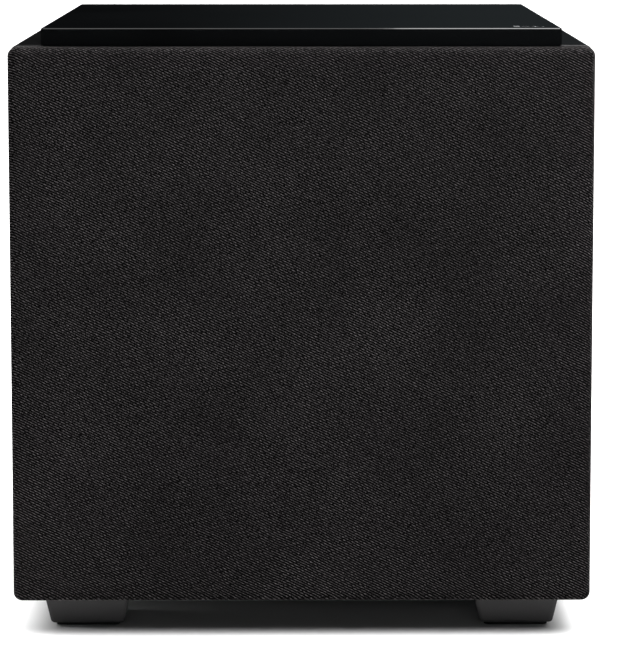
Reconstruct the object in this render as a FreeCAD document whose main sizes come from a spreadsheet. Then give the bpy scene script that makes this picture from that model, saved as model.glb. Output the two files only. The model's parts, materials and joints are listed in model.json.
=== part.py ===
"""A compact powered subwoofer: one front woofer, two side passive radiators and a rear plate amplifier.

The frame: +Z up, the front faces -Y, and the origin is on the floor under the middle of the box.
Every size is in millimetres. The driving dimensions are in the sheet Dims, PLACES names what is
worked out from them, and every sub-part is bound to both by expressions.
"""

import FreeCAD
import Part
import Sketcher

import math
import os
import re

Vector = FreeCAD.Vector
Rotation = FreeCAD.Rotation
Placement = FreeCAD.Placement

DIMENSIONS = {
    # cabinet
    "cab_width": 360,
    "cab_depth": 368,
    "cab_height": 346,
    "side_board": 22,
    "board": 18,
    "baffle_board": 22,
    "edge_round": 1.5,
    "brace_wide": 60,
    "brace_setback": 200,
    # feet
    "foot_height": 22.5,
    "foot_wide": 55,
    "foot_taper_deg": 12,
    "foot_round": 2.2,
    "foot_side_inset": 16.8,
    "foot_end_inset": 6,
    "pad_proud": 2,
    "pad_sunk": 1,
    "pad_wide": 40,
    "pad_round": 4,
    "foot_floor": 8,
    # gloss cap
    "cap_width": 320,
    "cap_height": 10.7,
    "cap_overhang": 10,
    "cap_back_inset": 14,
    "cap_corner": 2.2,
    "cap_chamfer": 0.5,
    "touch_wide": 32,
    "touch_inset": 3.5,
    "touch_skin": 3,
    "touch_setback": 12,
    "touch_board_gap": 1,
    "cable_way": 6,
    "pcb": 1.6,
    # front grille
    "grille_depth": 19.5,
    "grille_gap": 0.5,
    "grille_drop": 0.6,
    "cloth": 0.8,
    "grille_corner": 5.5,
    "grille_edge": 5,
    "rim_wide": 16,
    "rim_inner_round": 3,
    "grille_plate": 4,
    "grille_pitch": 35.5,
    "grille_hole": 14.5,
    "peg_post": 5,
    "peg_pin": 3,
    "peg_reach": 11,
    "peg_clearance": 0.08,
    # woofer and radiators: radii from the axis, depths from the board's face
    "flange_out": 130,
    "flange_thick": 5,
    "rebate_clearance": 0.5,
    "driver_hole": 116,
    "screw_circle": 122.5,
    "screw_shank": 2.2,
    "screw_head": 4.4,
    "screw_long": 20,
    "hole_clearance": 0.2,
    "trim_thick": 1.5,
    "trim_in": 112,
    "ledge_depth": 8,
    "surround_out": 111,
    "roll_out": 106,
    "roll_in": 84,
    "rubber": 1.2,
    "cone_rim": 79,
    "cone_collar": 1.2,
    "cone_neck": 25.4,
    "cone_deep": 44,
    "paper": 1.6,
    "dome_out": 45,
    "dome_high": 17,
    "former_wall": 0.6,
    "former_from": 50,
    "former_to": 94,
    "coil_from": 66,
    "coil_to": 90,
    "coil_wall": 0.8,
    "spider_depth": 60,
    "spider_out": 72,
    "spider_wave": 2.6,
    "spider_cloth": 0.8,
    "gap_plate_depth": 72,
    "gap_plate_thick": 8,
    "gap_out": 27,
    "gap_in": 24.2,
    "plate_out": 76,
    "magnet_out": 80,
    "magnet_in": 36,
    "magnet_thick": 30,
    "yoke_thick": 8,
    "pole_vent": 8,
    "ring_out": 82,
    "ring_in": 50,
    "basket_wall": 4,
    "basket_floor": 4,
    "basket_lip": 1,
    "spider_seat": 5,
    "window_wide": 52,
    "window_margin": 9,
    "terminal_half": 15,
    "terminal_high": 12,
    "terminal_thick": 4,
    "tab_pitch": 8,
    "tab_drop": 8,
    "tab_half": 3,
    "tab_long": 9,
    "tab_thick": 0.8,
    "side_pocket": 5,
    "side_grille_wide": 272,
    "side_grille_round": 20,
    "side_fit": 0.2,
    "side_edge": 1.2,
    "radiator_seat": 14,
    "radiator_flange": 3,
    "radiator_ledge": 2,
    "radiator_roll_out": 104,
    "radiator_screw": 9,
    "radiator_wall_deep": 12,
    "radiator_wall_gap": 1.5,
    "frame_fit": 0.5,
    "piston_thick": 3,
    "piston_weight_out": 42,
    "piston_weight_thick": 9,
    # rear amplifier
    "amp_width": 240,
    "amp_height": 250,
    "amp_low": 50,
    "amp_plate": 3,
    "amp_margin": 12,
    "amp_fit": 0.3,
    "amp_screw": 14,
    "knob_reach": 12,
    "knob_out": 9,
    "stem": 3,
    "stem_deep": 10,
    "stem_clearance": 0.05,
    "pot_wide": 17,
    "pot_deep": 9,
    "flute": 0.6,
    "pointer": 1.2,
    "control_row": 172,
    "socket_row": 96,
    "sink_wide": 200,
    "sink_high": 84,
    "sink_low": 204,
    "sink_base": 3,
    "sink_deep": 10,
    "fin": 2,
    "slot_wide": 10,
    "slot_high": 5,
    "lever_wide": 5.4,
    "lever_root": 3,
    "lever_proud": 3.2,
    "lever_fit": 0.3,
    "switch_deep": 8,
    "switch_margin": 4,
    "switch_high": 10,
    "rocker_half": 9,
    "rocker_wide": 10.8,
    "rocker_tilt": 10,
    "rocker_gap": 0.3,
    "rocker_swing": 0.7,
    "rocker_case": 14,
    "rocker_well": 10,
    "rca_barrel": 4.15,
    "rca_inner": 3.3,
    "rca_long": 9,
    "rca_flange": 6.4,
    "inlet_wide": 24.4,
    "inlet_high": 16.6,
    "inlet_deep": 17,
    "inlet_wall": 1.6,
    "inlet_lip": 2,
    "inlet_pin": 11,
    "inlet_corner": 4.5,
    "inlet_tail": 9,
    "inlet_pin_half": 1,
    "inlet_pin_tall": 2,
    "bezel": 3,
    "amp_board_gap": 19,
    "board_half": 100,
    "board_low": 118,
    "board_top": 284,
    "stand_off": 3,
    "stand_off_x": 94,
    "stand_off_low": 190,
    "stand_off_top": 278,
    "capacitor_out": 11.5,
    "capacitor_long": 36,
    "capacitor_z": 232,
    "lead": 1.5,
}

PLACES = {
    "half_width": "cab_width / 2",
    "total_depth": "grille_depth + grille_gap + cab_depth + knob_reach",
    "front_y": "-total_depth / 2",
    "face_y": "front_y + grille_depth + grille_gap",
    "back_y": "face_y + cab_depth",
    "middle_y": "face_y + cab_depth / 2",
    "inner_x": "half_width - side_board",
    "roof_z": "foot_height + cab_height",
    "driver_z": "foot_height + cab_height / 2",
    "cap_front": "face_y - cap_overhang",
    "cap_back": "back_y - cap_back_inset",
    "grille_high": "cab_height - grille_drop",
    "grille_back": "face_y - grille_gap",
    "grille_z": "foot_height + grille_high / 2",
    "panel_wide": "cab_width - 2 * cloth - 2 * rim_wide",
    "panel_high": "grille_high - 2 * cloth - 2 * rim_wide",
    "panel_back": "front_y + cloth + grille_plate",
    "plate_in": "back_y - amp_plate",
    "amp_top": "amp_low + amp_height",
    "foot_x": "half_width - foot_side_inset - foot_wide / 2",
    "foot_front": "face_y + foot_end_inset + foot_wide / 2",
    "foot_back": "back_y - foot_end_inset - foot_wide / 2",
    "touch_high_x": "cap_width / 2 - touch_inset",
    "touch_low_x": "touch_high_x - touch_wide",
    "touch_front": "cap_front + touch_setback",
    "touch_roof": "roof_z + cap_height - touch_skin",
    "magnet_depth": "gap_plate_depth + gap_plate_thick",
    "yoke_depth": "magnet_depth + magnet_thick",
}

# where each control and socket sits across the amplifier plate
LEVEL_X = 70
CROSSOVER_X = 20
PHASE_X = -30
MODE_X = -76
INLET_X = -64
ROCKER_X = -14
RCA_X = (80, 55, 24)

# the inlet's pins, across and up from its middle: live, earth, neutral
INLET_PINS = ((-7, -1.5), (0, 2), (7, -1.5))
# rounded blocks on the amplifier's board: x from, x to, z from, z to, how far in they reach, corner
BOARD_BLOCKS = ((-78, -26, 196, 250, 38, 3), (-14, 14, 150, 178, 22, 2))
CAPACITOR_X = (8, 36, 64)
# the leads' way from the woofer's tabs, as x, y beyond the tab, z above it; the last ends on the board
LEAD_ROUTE = ((0, 28, 0), (14, 66, -22), (42, 112, -30), (72, 160, -10), (76, 200, 26))
LEAD_END = (72, 38)
LEAD_END_RUN = 30
# touch marks as x, y, width, depth from the touch area's front left corner: bars, minus, plus
LEVEL_BARS = [(7.2, 5 + 3.6 * step, 3.6, 1.5) for step in range(4)]
MINUS = (12.2, 10, 4.6, 1)
PLUS = ((18.4, 10, 4.4, 1), (20.1, 8.3, 1, 4.4))
DOT = (25.4, 10.5, 0.8)

DRIVER_SCREWS = 8
FIRST_SCREW_DEG = 22.5
BASKET_SPOKES = 6
SPIDER_FOLDS = 8
SINK_FINS = 17
KNOB_FLUTES = 18
GRILLE_HOLES = (9, 8)
SIDE_HOLES = (7, 7)
# how much of the shorter run beside each of a lead's corners its bend takes
BEND_SHARE = 0.45
LEAD_VOLUME_TOLERANCE = 0.02
# a screw's recess as shares of its head's radius and height
RECESS_WIDE = 0.4
RECESS_DEEP = 0.6

doc = FreeCAD.newDocument("Subwoofer")
PARTS = []


# ---------------------------------------------------------------- sheet and expressions


def fill_sheet():
    """Writes the driving dimensions as name, value rows, with the name as the value's alias."""
    sheet = doc.addObject("Spreadsheet::Sheet", "Dims")
    for row, (name, value) in enumerate(DIMENSIONS.items(), start=1):
        sheet.set("A%d" % row, name)
        sheet.set("B%d" % row, str(value))
        sheet.setAlias("B%d" % row, name)
    reader = doc.addObject("App::FeaturePython", "Reader")
    reader.addProperty("App::PropertyFloat", "Value")
    doc.recompute()
    return reader


READER = fill_sheet()


def spell(text):
    """Turns sheet aliases and names from PLACES in a sum into a FreeCAD expression."""

    def one(match):
        word = match.group(0)
        if word in PLACES:
            return "(" + spell(PLACES[word]) + ")"
        return "Dims." + word if word in DIMENSIONS else word

    return re.sub(r"[a-z][a-z_]*", one, str(text))


def size(text):
    """The sum's value now, in millimetres."""
    READER.setExpression("Value", spell(text))
    READER.recompute()
    return READER.Value


def bind(thing, path, text):
    thing.setExpression(path, spell(text))


def put(thing, at, turn=None):
    """Places a thing at a point given by three sums, turned by a fixed rotation."""
    if turn is not None:
        thing.Placement = Placement(Vector(), turn)
    for axis, text in zip("xyz", at):
        bind(thing, "Placement.Base." + axis, text)


def keep(thing, label):
    """Marks a thing as a sub-part that gets its own file."""
    thing.Label = label
    PARTS.append(thing)
    return thing


# ---------------------------------------------------------------- shapes


def box(low, high):
    thing = doc.addObject("Part::Box", "Box")
    for name, start, end in zip(("Length", "Width", "Height"), low, high):
        bind(thing, name, "(%s) - (%s)" % (end, start))
    put(thing, low)
    return thing


TURNS = {
    "X": Rotation(Vector(0, 1, 0), 90),
    "Y": Rotation(Vector(1, 0, 0), -90),
    "Z": Rotation(),
}


def rod(start, radius, length, axis="Z"):
    """A cylinder that grows from its start along +X, +Y or +Z."""
    thing = doc.addObject("Part::Cylinder", "Rod")
    bind(thing, "Radius", radius)
    bind(thing, "Height", length)
    put(thing, start, TURNS[axis])
    return thing


def cut(base, *tools):
    """The base less the tools."""
    thing = doc.addObject("Part::Cut", "Cut")
    thing.Base = base
    thing.Tool = tools[0] if len(tools) == 1 else fused(*tools)
    return thing


def fused(*shapes):
    thing = doc.addObject("Part::MultiFuse", "Fuse")
    thing.Shapes = list(shapes)
    return thing


def grouped(*shapes):
    """Separate solids in one node."""
    thing = doc.addObject("Part::Compound", "Group")
    thing.Links = list(shapes)
    return thing


def copies(item, placements):
    """The item's shape at each placement, as one feature."""
    doc.recompute()
    thing = doc.addObject("Part::Feature", "Copies")
    shapes = []
    for place in placements:
        shape = item.Shape.copy()
        shape.Placement = place.multiply(shape.Placement)
        shapes.append(shape)
    thing.Shape = Part.makeCompound(shapes)
    return thing


def origin_plane(body, role):
    return next(f for f in body.Origin.OriginFeatures if f.Role == role)


def new_sketch(body, role):
    sketch = body.newObject("Sketcher::SketchObject", "Outline")
    sketch.AttachmentSupport = [(origin_plane(body, role), "")]
    sketch.MapMode = "FlatFace"
    return sketch


def pin_point(sketch, geometry, end, point):
    """Holds one end of an edge at a point given by two sums."""
    for kind, text in zip(("DistanceX", "DistanceY"), point):
        index = sketch.addConstraint(Sketcher.Constraint(kind, -1, 1, geometry, end, size(text)))
        bind(sketch, "Constraints[%d]" % index, text)


def arc_centre(start, end, known):
    """The centre that is as far from both ends, from whichever of its coordinates is known."""
    chord = end - start
    total = (end.Length**2 - start.Length**2) / 2
    if known[0] is not None:
        across = size(known[0])
        return Vector(across, (total - chord.x * across) / chord.y, 0)
    along = size(known[1])
    return Vector((total - chord.y * along) / chord.x, along, 0)


def add_arc(sketch, start, end, known, anticlockwise):
    """Draws an arc and holds the centre's known coordinate. Returns its start and end point numbers."""
    centre = arc_centre(start, end, known)
    first, last = (start, end) if anticlockwise else (end, start)
    angles = [math.atan2(p.y - centre.y, p.x - centre.x) for p in (first, last)]
    circle = Part.Circle(centre, Vector(0, 0, 1), (start - centre).Length)
    index = sketch.addGeometry(Part.ArcOfCircle(circle, angles[0], angles[1]))
    kind, text = ("DistanceX", known[0]) if known[0] is not None else ("DistanceY", known[1])
    held = sketch.addConstraint(Sketcher.Constraint(kind, -1, 1, index, 3, size(text)))
    bind(sketch, "Constraints[%d]" % held, text)
    return (1, 2) if anticlockwise else (2, 1)


def draw_outline(sketch, outline):
    """Draws a closed outline, every corner held by its sums.

    A corner is (u, v), or (u, v, known, anticlockwise) where an arc runs from it to the next corner
    and known is (centre u or None, centre v or None)."""
    corners = [Vector(size(c[0]), size(c[1]), 0) for c in outline]
    ends = []
    for number, corner in enumerate(outline):
        start = corners[number]
        end = corners[(number + 1) % len(corners)]
        if len(corner) == 2:
            sketch.addGeometry(Part.LineSegment(start, end))
            ends.append((1, 2))
        else:
            ends.append(add_arc(sketch, start, end, corner[2], corner[3]))
    for number, corner in enumerate(outline):
        following = (number + 1) % len(outline)
        sketch.addConstraint(
            Sketcher.Constraint("Coincident", number, ends[number][1], following, ends[following][0])
        )
        pin_point(sketch, number, ends[number][0], corner[:2])


def turned(outline, at=("0", "0", "0"), turn=None):
    """A body of revolution about local Y. The outline's points are (radius, depth)."""
    body = doc.addObject("PartDesign::Body", "Turned")
    sketch = new_sketch(body, "XY_Plane")
    draw_outline(sketch, outline)
    spin = body.newObject("PartDesign::Revolution", "Spin")
    spin.Profile = sketch
    spin.ReferenceAxis = (sketch, ["V_Axis"])
    spin.Angle = 360
    put(body, at, turn)
    return body


def prism(outline, length, at=("0", "0", "0"), turn=None, role="XZ_Plane"):
    """A padded outline. On XZ_Plane the outline's points are (x, z) and it grows towards -Y."""
    body = doc.addObject("PartDesign::Body", "Prism")
    sketch = new_sketch(body, role)
    draw_outline(sketch, outline)
    pad = body.newObject("PartDesign::Pad", "Pad")
    pad.Profile = sketch
    bind(pad, "Length", length)
    put(body, at, turn)
    return body


def edges_where(shape, test):
    return ["Edge%d" % n for n, edge in enumerate(shape.Edges, start=1) if test(edge)]


def rounded_box(low, high, *rounds):
    """A box whose chosen edges are rounded or chamfered in turn.

    Each of rounds is (kind, radius, test), and test takes an edge and the shape's bounding box."""
    body = doc.addObject("PartDesign::Body", "Block")
    block = body.newObject("PartDesign::AdditiveBox", "Block")
    for name, start, end in zip(("Length", "Width", "Height"), low, high):
        bind(block, name, "(%s) - (%s)" % (end, start))
    doc.recompute()
    last = block
    for kind, radius, test in rounds:
        limits = last.Shape.BoundBox
        chosen = edges_where(last.Shape, lambda edge: test(edge, limits))
        last = body.newObject("PartDesign::" + kind, kind)
        last.Base = (body.Group[-2], chosen)
        bind(last, "Radius" if kind == "Fillet" else "Size", radius)
        doc.recompute()
    put(body, low)
    return body


def along(axis):
    """Chooses edges parallel to an axis."""

    def test(edge, limits):
        a, b = edge.firstVertex().Point, edge.lastVertex().Point
        return (b - a).Length > 0 and abs(abs(getattr(b - a, axis)) - (b - a).Length) < 1e-6

    return test


def on_side(side):
    """Chooses edges that lie wholly on one face of the bounding box, such as ZMax."""

    def test(edge, limits):
        box_of_edge = edge.BoundBox
        axis = side[0]
        level = getattr(limits, side)
        return (
            abs(getattr(box_of_edge, axis + "Min") - level) < 1e-4
            and abs(getattr(box_of_edge, axis + "Max") - level) < 1e-4
        )

    return test


def both(first, second):
    """Chooses edges that pass two tests."""

    def test(edge, limits):
        return first(edge, limits) and second(edge, limits)

    return test


def ring_places(centre, turn, radius, count, first_deg):
    """Placements round a driver's axis, which is local Y."""
    places = []
    for number in range(count):
        spin = Rotation(Vector(0, 1, 0), first_deg + 360.0 * number / count)
        away = spin.multVec(Vector(radius, 0, 0))
        places.append(Placement(centre, turn).multiply(Placement(away, spin)))
    return places


# ---------------------------------------------------------------- screws


def screw(shank, head, length, head_high):
    """A pan-head screw along local +Y, with its seat at the origin and a round driver recess."""
    body = fused(
        rod(("0", "0", "0"), shank, length, "Y"),
        rod(("0", "-(%s)" % head_high, "0"), head, head_high, "Y"),
    )
    recess = rod(
        ("0", "-(%s) - 0.5" % head_high, "0"),
        "(%s) * %g" % (head, RECESS_WIDE),
        "(%s) * %g + 0.5" % (head_high, RECESS_DEEP),
        "Y",
    )
    return cut(body, recess)


# ---------------------------------------------------------------- cabinet


def side_x(side, inner, outer):
    """Low and high x of something between two distances from the middle, on side -1 or +1."""
    near, far = "(%s)" % inner, "(%s)" % outer
    return (near, far) if side > 0 else ("-" + far, "-" + near)


def side_panel(side, label):
    """A side board with a seat for the cloth grille, a seat for the radiator and its hole."""
    x_low, x_high = side_x(side, "inner_x", "half_width")
    outer_face = "XMax" if side > 0 else "XMin"
    slab = rounded_box(
        (x_low, "face_y", "foot_height"),
        (x_high, "back_y", "roof_z"),
        ("Fillet", "grille_corner", both(on_side(outer_face), along("y"))),
        ("Fillet", "edge_round", both(on_side(outer_face), along("z"))),
    )
    half = "side_grille_wide / 2"
    pocket_low, pocket_high = side_x(side, "half_width - side_pocket", "half_width + 1")
    pocket = rounded_box(
        (pocket_low, "middle_y - " + half, "driver_z - " + half),
        (pocket_high, "middle_y + " + half, "driver_z + " + half),
        ("Fillet", "side_grille_round", along("x")),
    )
    seat_low, _ = side_x(side, "half_width - radiator_seat", "half_width + 1")
    hole_low, _ = side_x(side, "inner_x - 1", "half_width + 1")
    rebate = "flange_out + rebate_clearance"
    seat = rod((seat_low, "middle_y", "driver_z"), rebate, "radiator_seat + 1", "X")
    hole = rod((hole_low, "middle_y", "driver_z"), "driver_hole", "side_board + 2", "X")
    pilots = copies(
        rod(("0", "0", "0"), "screw_shank + hole_clearance", "radiator_screw - 1", "Y"),
        [
            place.multiply(Placement(Vector(0, size("radiator_seat - 1"), 0), Rotation()))
            for place in radiator_ring(side)
        ],
    )
    keep(cut(slab, pocket, seat, hole, pilots), label)


def radiator_ring(side):
    centre = Vector(side * size("half_width"), size("middle_y"), size("driver_z"))
    turn = Rotation(Vector(0, 0, 1), 90 * side)
    return ring_places(centre, turn, size("screw_circle"), DRIVER_SCREWS, FIRST_SCREW_DEG)


def woofer_ring():
    centre = Vector(0, size("face_y"), size("driver_z"))
    return ring_places(centre, Rotation(), size("screw_circle"), DRIVER_SCREWS, FIRST_SCREW_DEG)


def peg_points():
    """Where the four grille pegs sit: between the holes of the grille plate."""
    x, z = "3.5 * grille_pitch", "4 * grille_pitch"
    return [(sx + x, "grille_z " + sz + z) for sx in ("", "-") for sz in ("+ ", "- ")]


def foot_points():
    return [
        ("foot_front_left", "-foot_x", "foot_front"),
        ("foot_front_right", "foot_x", "foot_front"),
        ("foot_rear_left", "-foot_x", "foot_back"),
        ("foot_rear_right", "foot_x", "foot_back"),
    ]


def amp_screw_points():
    """Ten screws round the amplifier plate's edge."""
    across = size("amp_width / 2 - amp_margin / 2")
    low, high = size("amp_low + amp_margin / 2"), size("amp_top - amp_margin / 2")
    points = [(x, z) for x in (-across, 0, across) for z in (low, high)]
    return points + [(x, low + (high - low) * share) for x in (-across, across) for share in (1 / 3, 2 / 3)]


def boards():
    side_panel(-1, "left_side_panel")
    side_panel(1, "right_side_panel")

    top = rounded_box(
        ("-inner_x", "face_y", "roof_z - board"),
        ("inner_x", "back_y", "roof_z"),
        ("Fillet", "edge_round", both(on_side("ZMax"), along("x"))),
    )
    middle = ("touch_low_x + touch_wide / 2", "touch_front + touch_wide / 2", "roof_z - board - 1")
    cable_way = rod(middle, "cable_way", "board + 2")
    keep(cut(top, cable_way), "top_panel")

    bottom = rounded_box(
        ("-inner_x", "face_y", "foot_height"),
        ("inner_x", "back_y", "foot_height + board"),
        ("Fillet", "edge_round", both(on_side("ZMin"), along("x"))),
    )
    pilots = [
        rod((x, y, "foot_height - 1"), "screw_shank + hole_clearance", "board - 1")
        for _, x, y in foot_points()
    ]
    keep(cut(bottom, *pilots), "bottom_panel")

    baffle = box(
        ("-inner_x", "face_y", "foot_height + board"),
        ("inner_x", "face_y + baffle_board", "roof_z - board"),
    )
    seat = rod(("0", "face_y - 1", "driver_z"), "flange_out + rebate_clearance", "flange_thick + 1", "Y")
    hole = rod(("0", "face_y - 1", "driver_z"), "driver_hole", "baffle_board + 2", "Y")
    pegs = [
        rod((x, "face_y - 1", z), "peg_pin + peg_clearance", "peg_reach + 3", "Y")
        for x, z in peg_points()
    ]
    pilots = copies(
        rod(("0", "-1", "0"), "screw_shank + hole_clearance", "screw_long + 1.5", "Y"),
        woofer_ring(),
    )
    keep(cut(baffle, seat, hole, pilots, *pegs), "front_baffle")

    rear = box(
        ("-inner_x", "back_y - board", "foot_height + board"),
        ("inner_x", "back_y", "roof_z - board"),
    )
    plate_seat = box(
        ("-amp_width / 2 - amp_fit", "plate_in", "amp_low - amp_fit"),
        ("amp_width / 2 + amp_fit", "back_y + 1", "amp_top + amp_fit"),
    )
    window = box(
        ("-amp_width / 2 + amp_margin", "back_y - board - 1", "amp_low + amp_margin"),
        ("amp_width / 2 - amp_margin", "back_y", "amp_top - amp_margin"),
    )
    pilots = copies(
        rod(("0", "1 - amp_screw", "0"), "screw_shank + hole_clearance", "amp_screw", "Y"),
        [Placement(Vector(x, size("plate_in"), z), Rotation()) for x, z in amp_screw_points()],
    )
    keep(cut(rear, plate_seat, window, pilots), "rear_panel")

    brace = box(
        ("-brace_wide / 2", "face_y + brace_setback", "foot_height + board"),
        ("brace_wide / 2", "face_y + brace_setback + board", "roof_z - board"),
    )
    keep(brace, "cabinet_brace")


# ---------------------------------------------------------------- feet


def foot(label, x, y):
    """A moulded block that narrows downwards, screwed up into the bottom board."""
    body = doc.addObject("PartDesign::Body", "Foot")
    sketch = new_sketch(body, "XY_Plane")
    half = "foot_wide / 2"
    draw_outline(sketch, [("-" + half, "-" + half), (half, "-" + half), (half, half), ("-" + half, half)])
    pad = body.newObject("PartDesign::Pad", "Pad")
    pad.Profile = sketch
    pad.Reversed = True
    bind(pad, "Length", "foot_height - pad_proud")
    bind(pad, "TaperAngle", "-foot_taper_deg")
    doc.recompute()
    limits = pad.Shape.BoundBox
    sides = edges_where(pad.Shape, lambda e: e.BoundBox.ZLength > 1)
    corner = body.newObject("PartDesign::Fillet", "Corner")
    corner.Base = (pad, sides)
    bind(corner, "Radius", "foot_round * 1.5")
    doc.recompute()
    soles = edges_where(corner.Shape, lambda e: e.BoundBox.ZMax < limits.ZMin + 1e-4)
    sole = body.newObject("PartDesign::Fillet", "Sole")
    sole.Base = (corner, soles)
    bind(sole, "Radius", "foot_round")
    put(body, (x, y, "foot_height"))
    pad_seat = pad_block(x, y, "pad_wide + 0.4", "pad_proud", "pad_proud + pad_sunk")
    shank = rod((x, y, "0"), "screw_shank + hole_clearance", "foot_height + 1")
    head = rod((x, y, "0"), "screw_head + 0.6", "foot_height - foot_floor")
    keep(cut(body, pad_seat, shank, head), label)


def pad_block(x, y, wide, low, high):
    return rounded_box(
        ("%s - (%s) / 2" % (x, wide), "%s - (%s) / 2" % (y, wide), low),
        ("%s + (%s) / 2" % (x, wide), "%s + (%s) / 2" % (y, wide), high),
        ("Fillet", "pad_round", along("z")),
    )


def feet():
    for label, x, y in foot_points():
        foot(label, x, y)
    pads = [
        pad_block(x, y, "pad_wide", "0", "pad_proud + pad_sunk") for _, x, y in foot_points()
    ]
    keep(grouped(*pads), "foot_pads")
    upright = Rotation(Vector(1, 0, 0), 90)
    fixing = screw("screw_shank", "screw_head", "screw_long", "3")
    seat_z = size("foot_height - foot_floor")
    places = [Placement(Vector(size(x), size(y), seat_z), upright) for _, x, y in foot_points()]
    keep(copies(fixing, places), "foot_screws")


# ---------------------------------------------------------------- gloss cap and touch controls


def touch_marks():
    """Clear light guides that end flush in the cap: four level bars, a minus, a plus and a dot."""

    def bar(x, y, wide, deep):
        return box(
            ("touch_low_x + %g" % x, "touch_front + %g" % y, "touch_roof"),
            ("touch_low_x + %g" % (x + wide), "touch_front + %g" % (y + deep), "touch_roof + touch_skin"),
        )

    marks = [bar(*sizes) for sizes in LEVEL_BARS]
    marks.append(bar(*MINUS))
    marks.append(fused(*[bar(*sizes) for sizes in PLUS]))
    dot_x, dot_y, dot_out = DOT
    centre = ("touch_low_x + %g" % dot_x, "touch_front + %g" % dot_y, "touch_roof")
    marks.append(rod(centre, str(dot_out), "touch_skin"))
    return marks


def cap():
    marks = touch_marks()
    keep(grouped(*marks), "touch_light_guides")
    slab = rounded_box(
        ("-cap_width / 2", "cap_front", "roof_z"),
        ("cap_width / 2", "cap_back", "roof_z + cap_height"),
        ("Fillet", "cap_corner", along("z")),
        ("Chamfer", "cap_chamfer", on_side("ZMax")),
    )
    hollow = box(
        ("touch_low_x", "touch_front", "roof_z - 1"),
        ("touch_high_x", "touch_front + touch_wide", "touch_roof"),
    )
    keep(cut(slab, hollow, *marks), "top_cap")
    gap = "touch_board_gap"
    keep(
        box(
            ("touch_low_x + " + gap, "touch_front + " + gap, "touch_roof - pcb"),
            ("touch_high_x - " + gap, "touch_front + touch_wide - " + gap, "touch_roof"),
        ),
        "touch_control_board",
    )


# ---------------------------------------------------------------- grilles


def perforated_plate(width, height, thick, counts, corner):
    """A plate in the XZ plane, growing to -Y from the origin, with rows of round holes."""
    pitch, hole = "grille_pitch", "grille_hole"
    body = doc.addObject("PartDesign::Body", "Plate")
    sketch = new_sketch(body, "XZ_Plane")
    x, z = "(%s) / 2" % width, "(%s) / 2" % height
    draw_outline(sketch, [("-" + x, "-" + z), (x, "-" + z), (x, z), ("-" + x, z)])
    pad = body.newObject("PartDesign::Pad", "Pad")
    pad.Profile = sketch
    bind(pad, "Length", thick)
    doc.recompute()
    corners = body.newObject("PartDesign::Fillet", "Corners")
    corners.Base = (pad, edges_where(pad.Shape, lambda e: along("y")(e, None)))
    bind(corners, "Radius", corner)
    doc.recompute()
    row = new_sketch(body, "XZ_Plane")
    across, up = counts
    for number in range(across):
        centre = ("%g * %s" % (number - (across - 1) / 2, pitch), "%g * %s" % (-(up - 1) / 2, pitch))
        spot = Vector(size(centre[0]), size(centre[1]), 0)
        index = row.addGeometry(Part.Circle(spot, Vector(0, 0, 1), size(hole)))
        pin_point(row, index, 3, centre)
        held = row.addConstraint(Sketcher.Constraint("Radius", index, size(hole)))
        bind(row, "Constraints[%d]" % held, hole)
    holes = body.newObject("PartDesign::Pocket", "Holes")
    holes.Profile = row
    holes.Type = "ThroughAll"
    holes.Midplane = True
    doc.recompute()
    rows = body.newObject("PartDesign::LinearPattern", "Rows")
    rows.Originals = [holes]
    rows.Direction = (row, ["V_Axis"])
    bind(rows, "Length", "%d * %s" % (up - 1, pitch))
    rows.Occurrences = up
    body.Tip = rows
    doc.recompute()
    return body


def grille():
    """The front grille: a rim, a perforated plate inside it and cloth pulled round both."""
    front_edges = on_side("YMin")

    def block(inset, front):
        return rounded_box(
            ("-half_width + " + inset, front, "foot_height + " + inset),
            ("half_width - " + inset, "grille_back", "foot_height + grille_high - " + inset),
            ("Fillet", "grille_corner - " + inset, along("y")),
            ("Fillet", "grille_edge - " + inset, front_edges),
        )

    core = block("cloth", "front_y + cloth")
    opening = rounded_box(
        ("-panel_wide / 2", "front_y", "grille_z - panel_high / 2"),
        ("panel_wide / 2", "grille_back + 1", "grille_z + panel_high / 2"),
        ("Fillet", "rim_inner_round", along("y")),
    )
    keep(cut(core, opening), "grille_rim")
    keep(cut(block("0", "front_y"), core), "grille_cloth")
    plate = perforated_plate(
        "panel_wide", "panel_high", "grille_plate", GRILLE_HOLES, "rim_inner_round"
    )
    put(plate, ("0", "panel_back", "grille_z"))
    keep(plate, "grille_plate")
    pegs = []
    for x, z in peg_points():
        post = rod((x, "panel_back", z), "peg_post", "grille_back - (panel_back)", "Y")
        pin = rod((x, "grille_back", z), "peg_pin", "grille_gap + peg_reach - peg_pin", "Y")
        tip = doc.addObject("Part::Sphere", "Tip")
        bind(tip, "Radius", "peg_pin")
        put(tip, (x, "face_y + peg_reach - peg_pin", z))
        pegs.append(fused(post, pin, tip))
    keep(grouped(*pegs), "grille_pegs")


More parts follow.
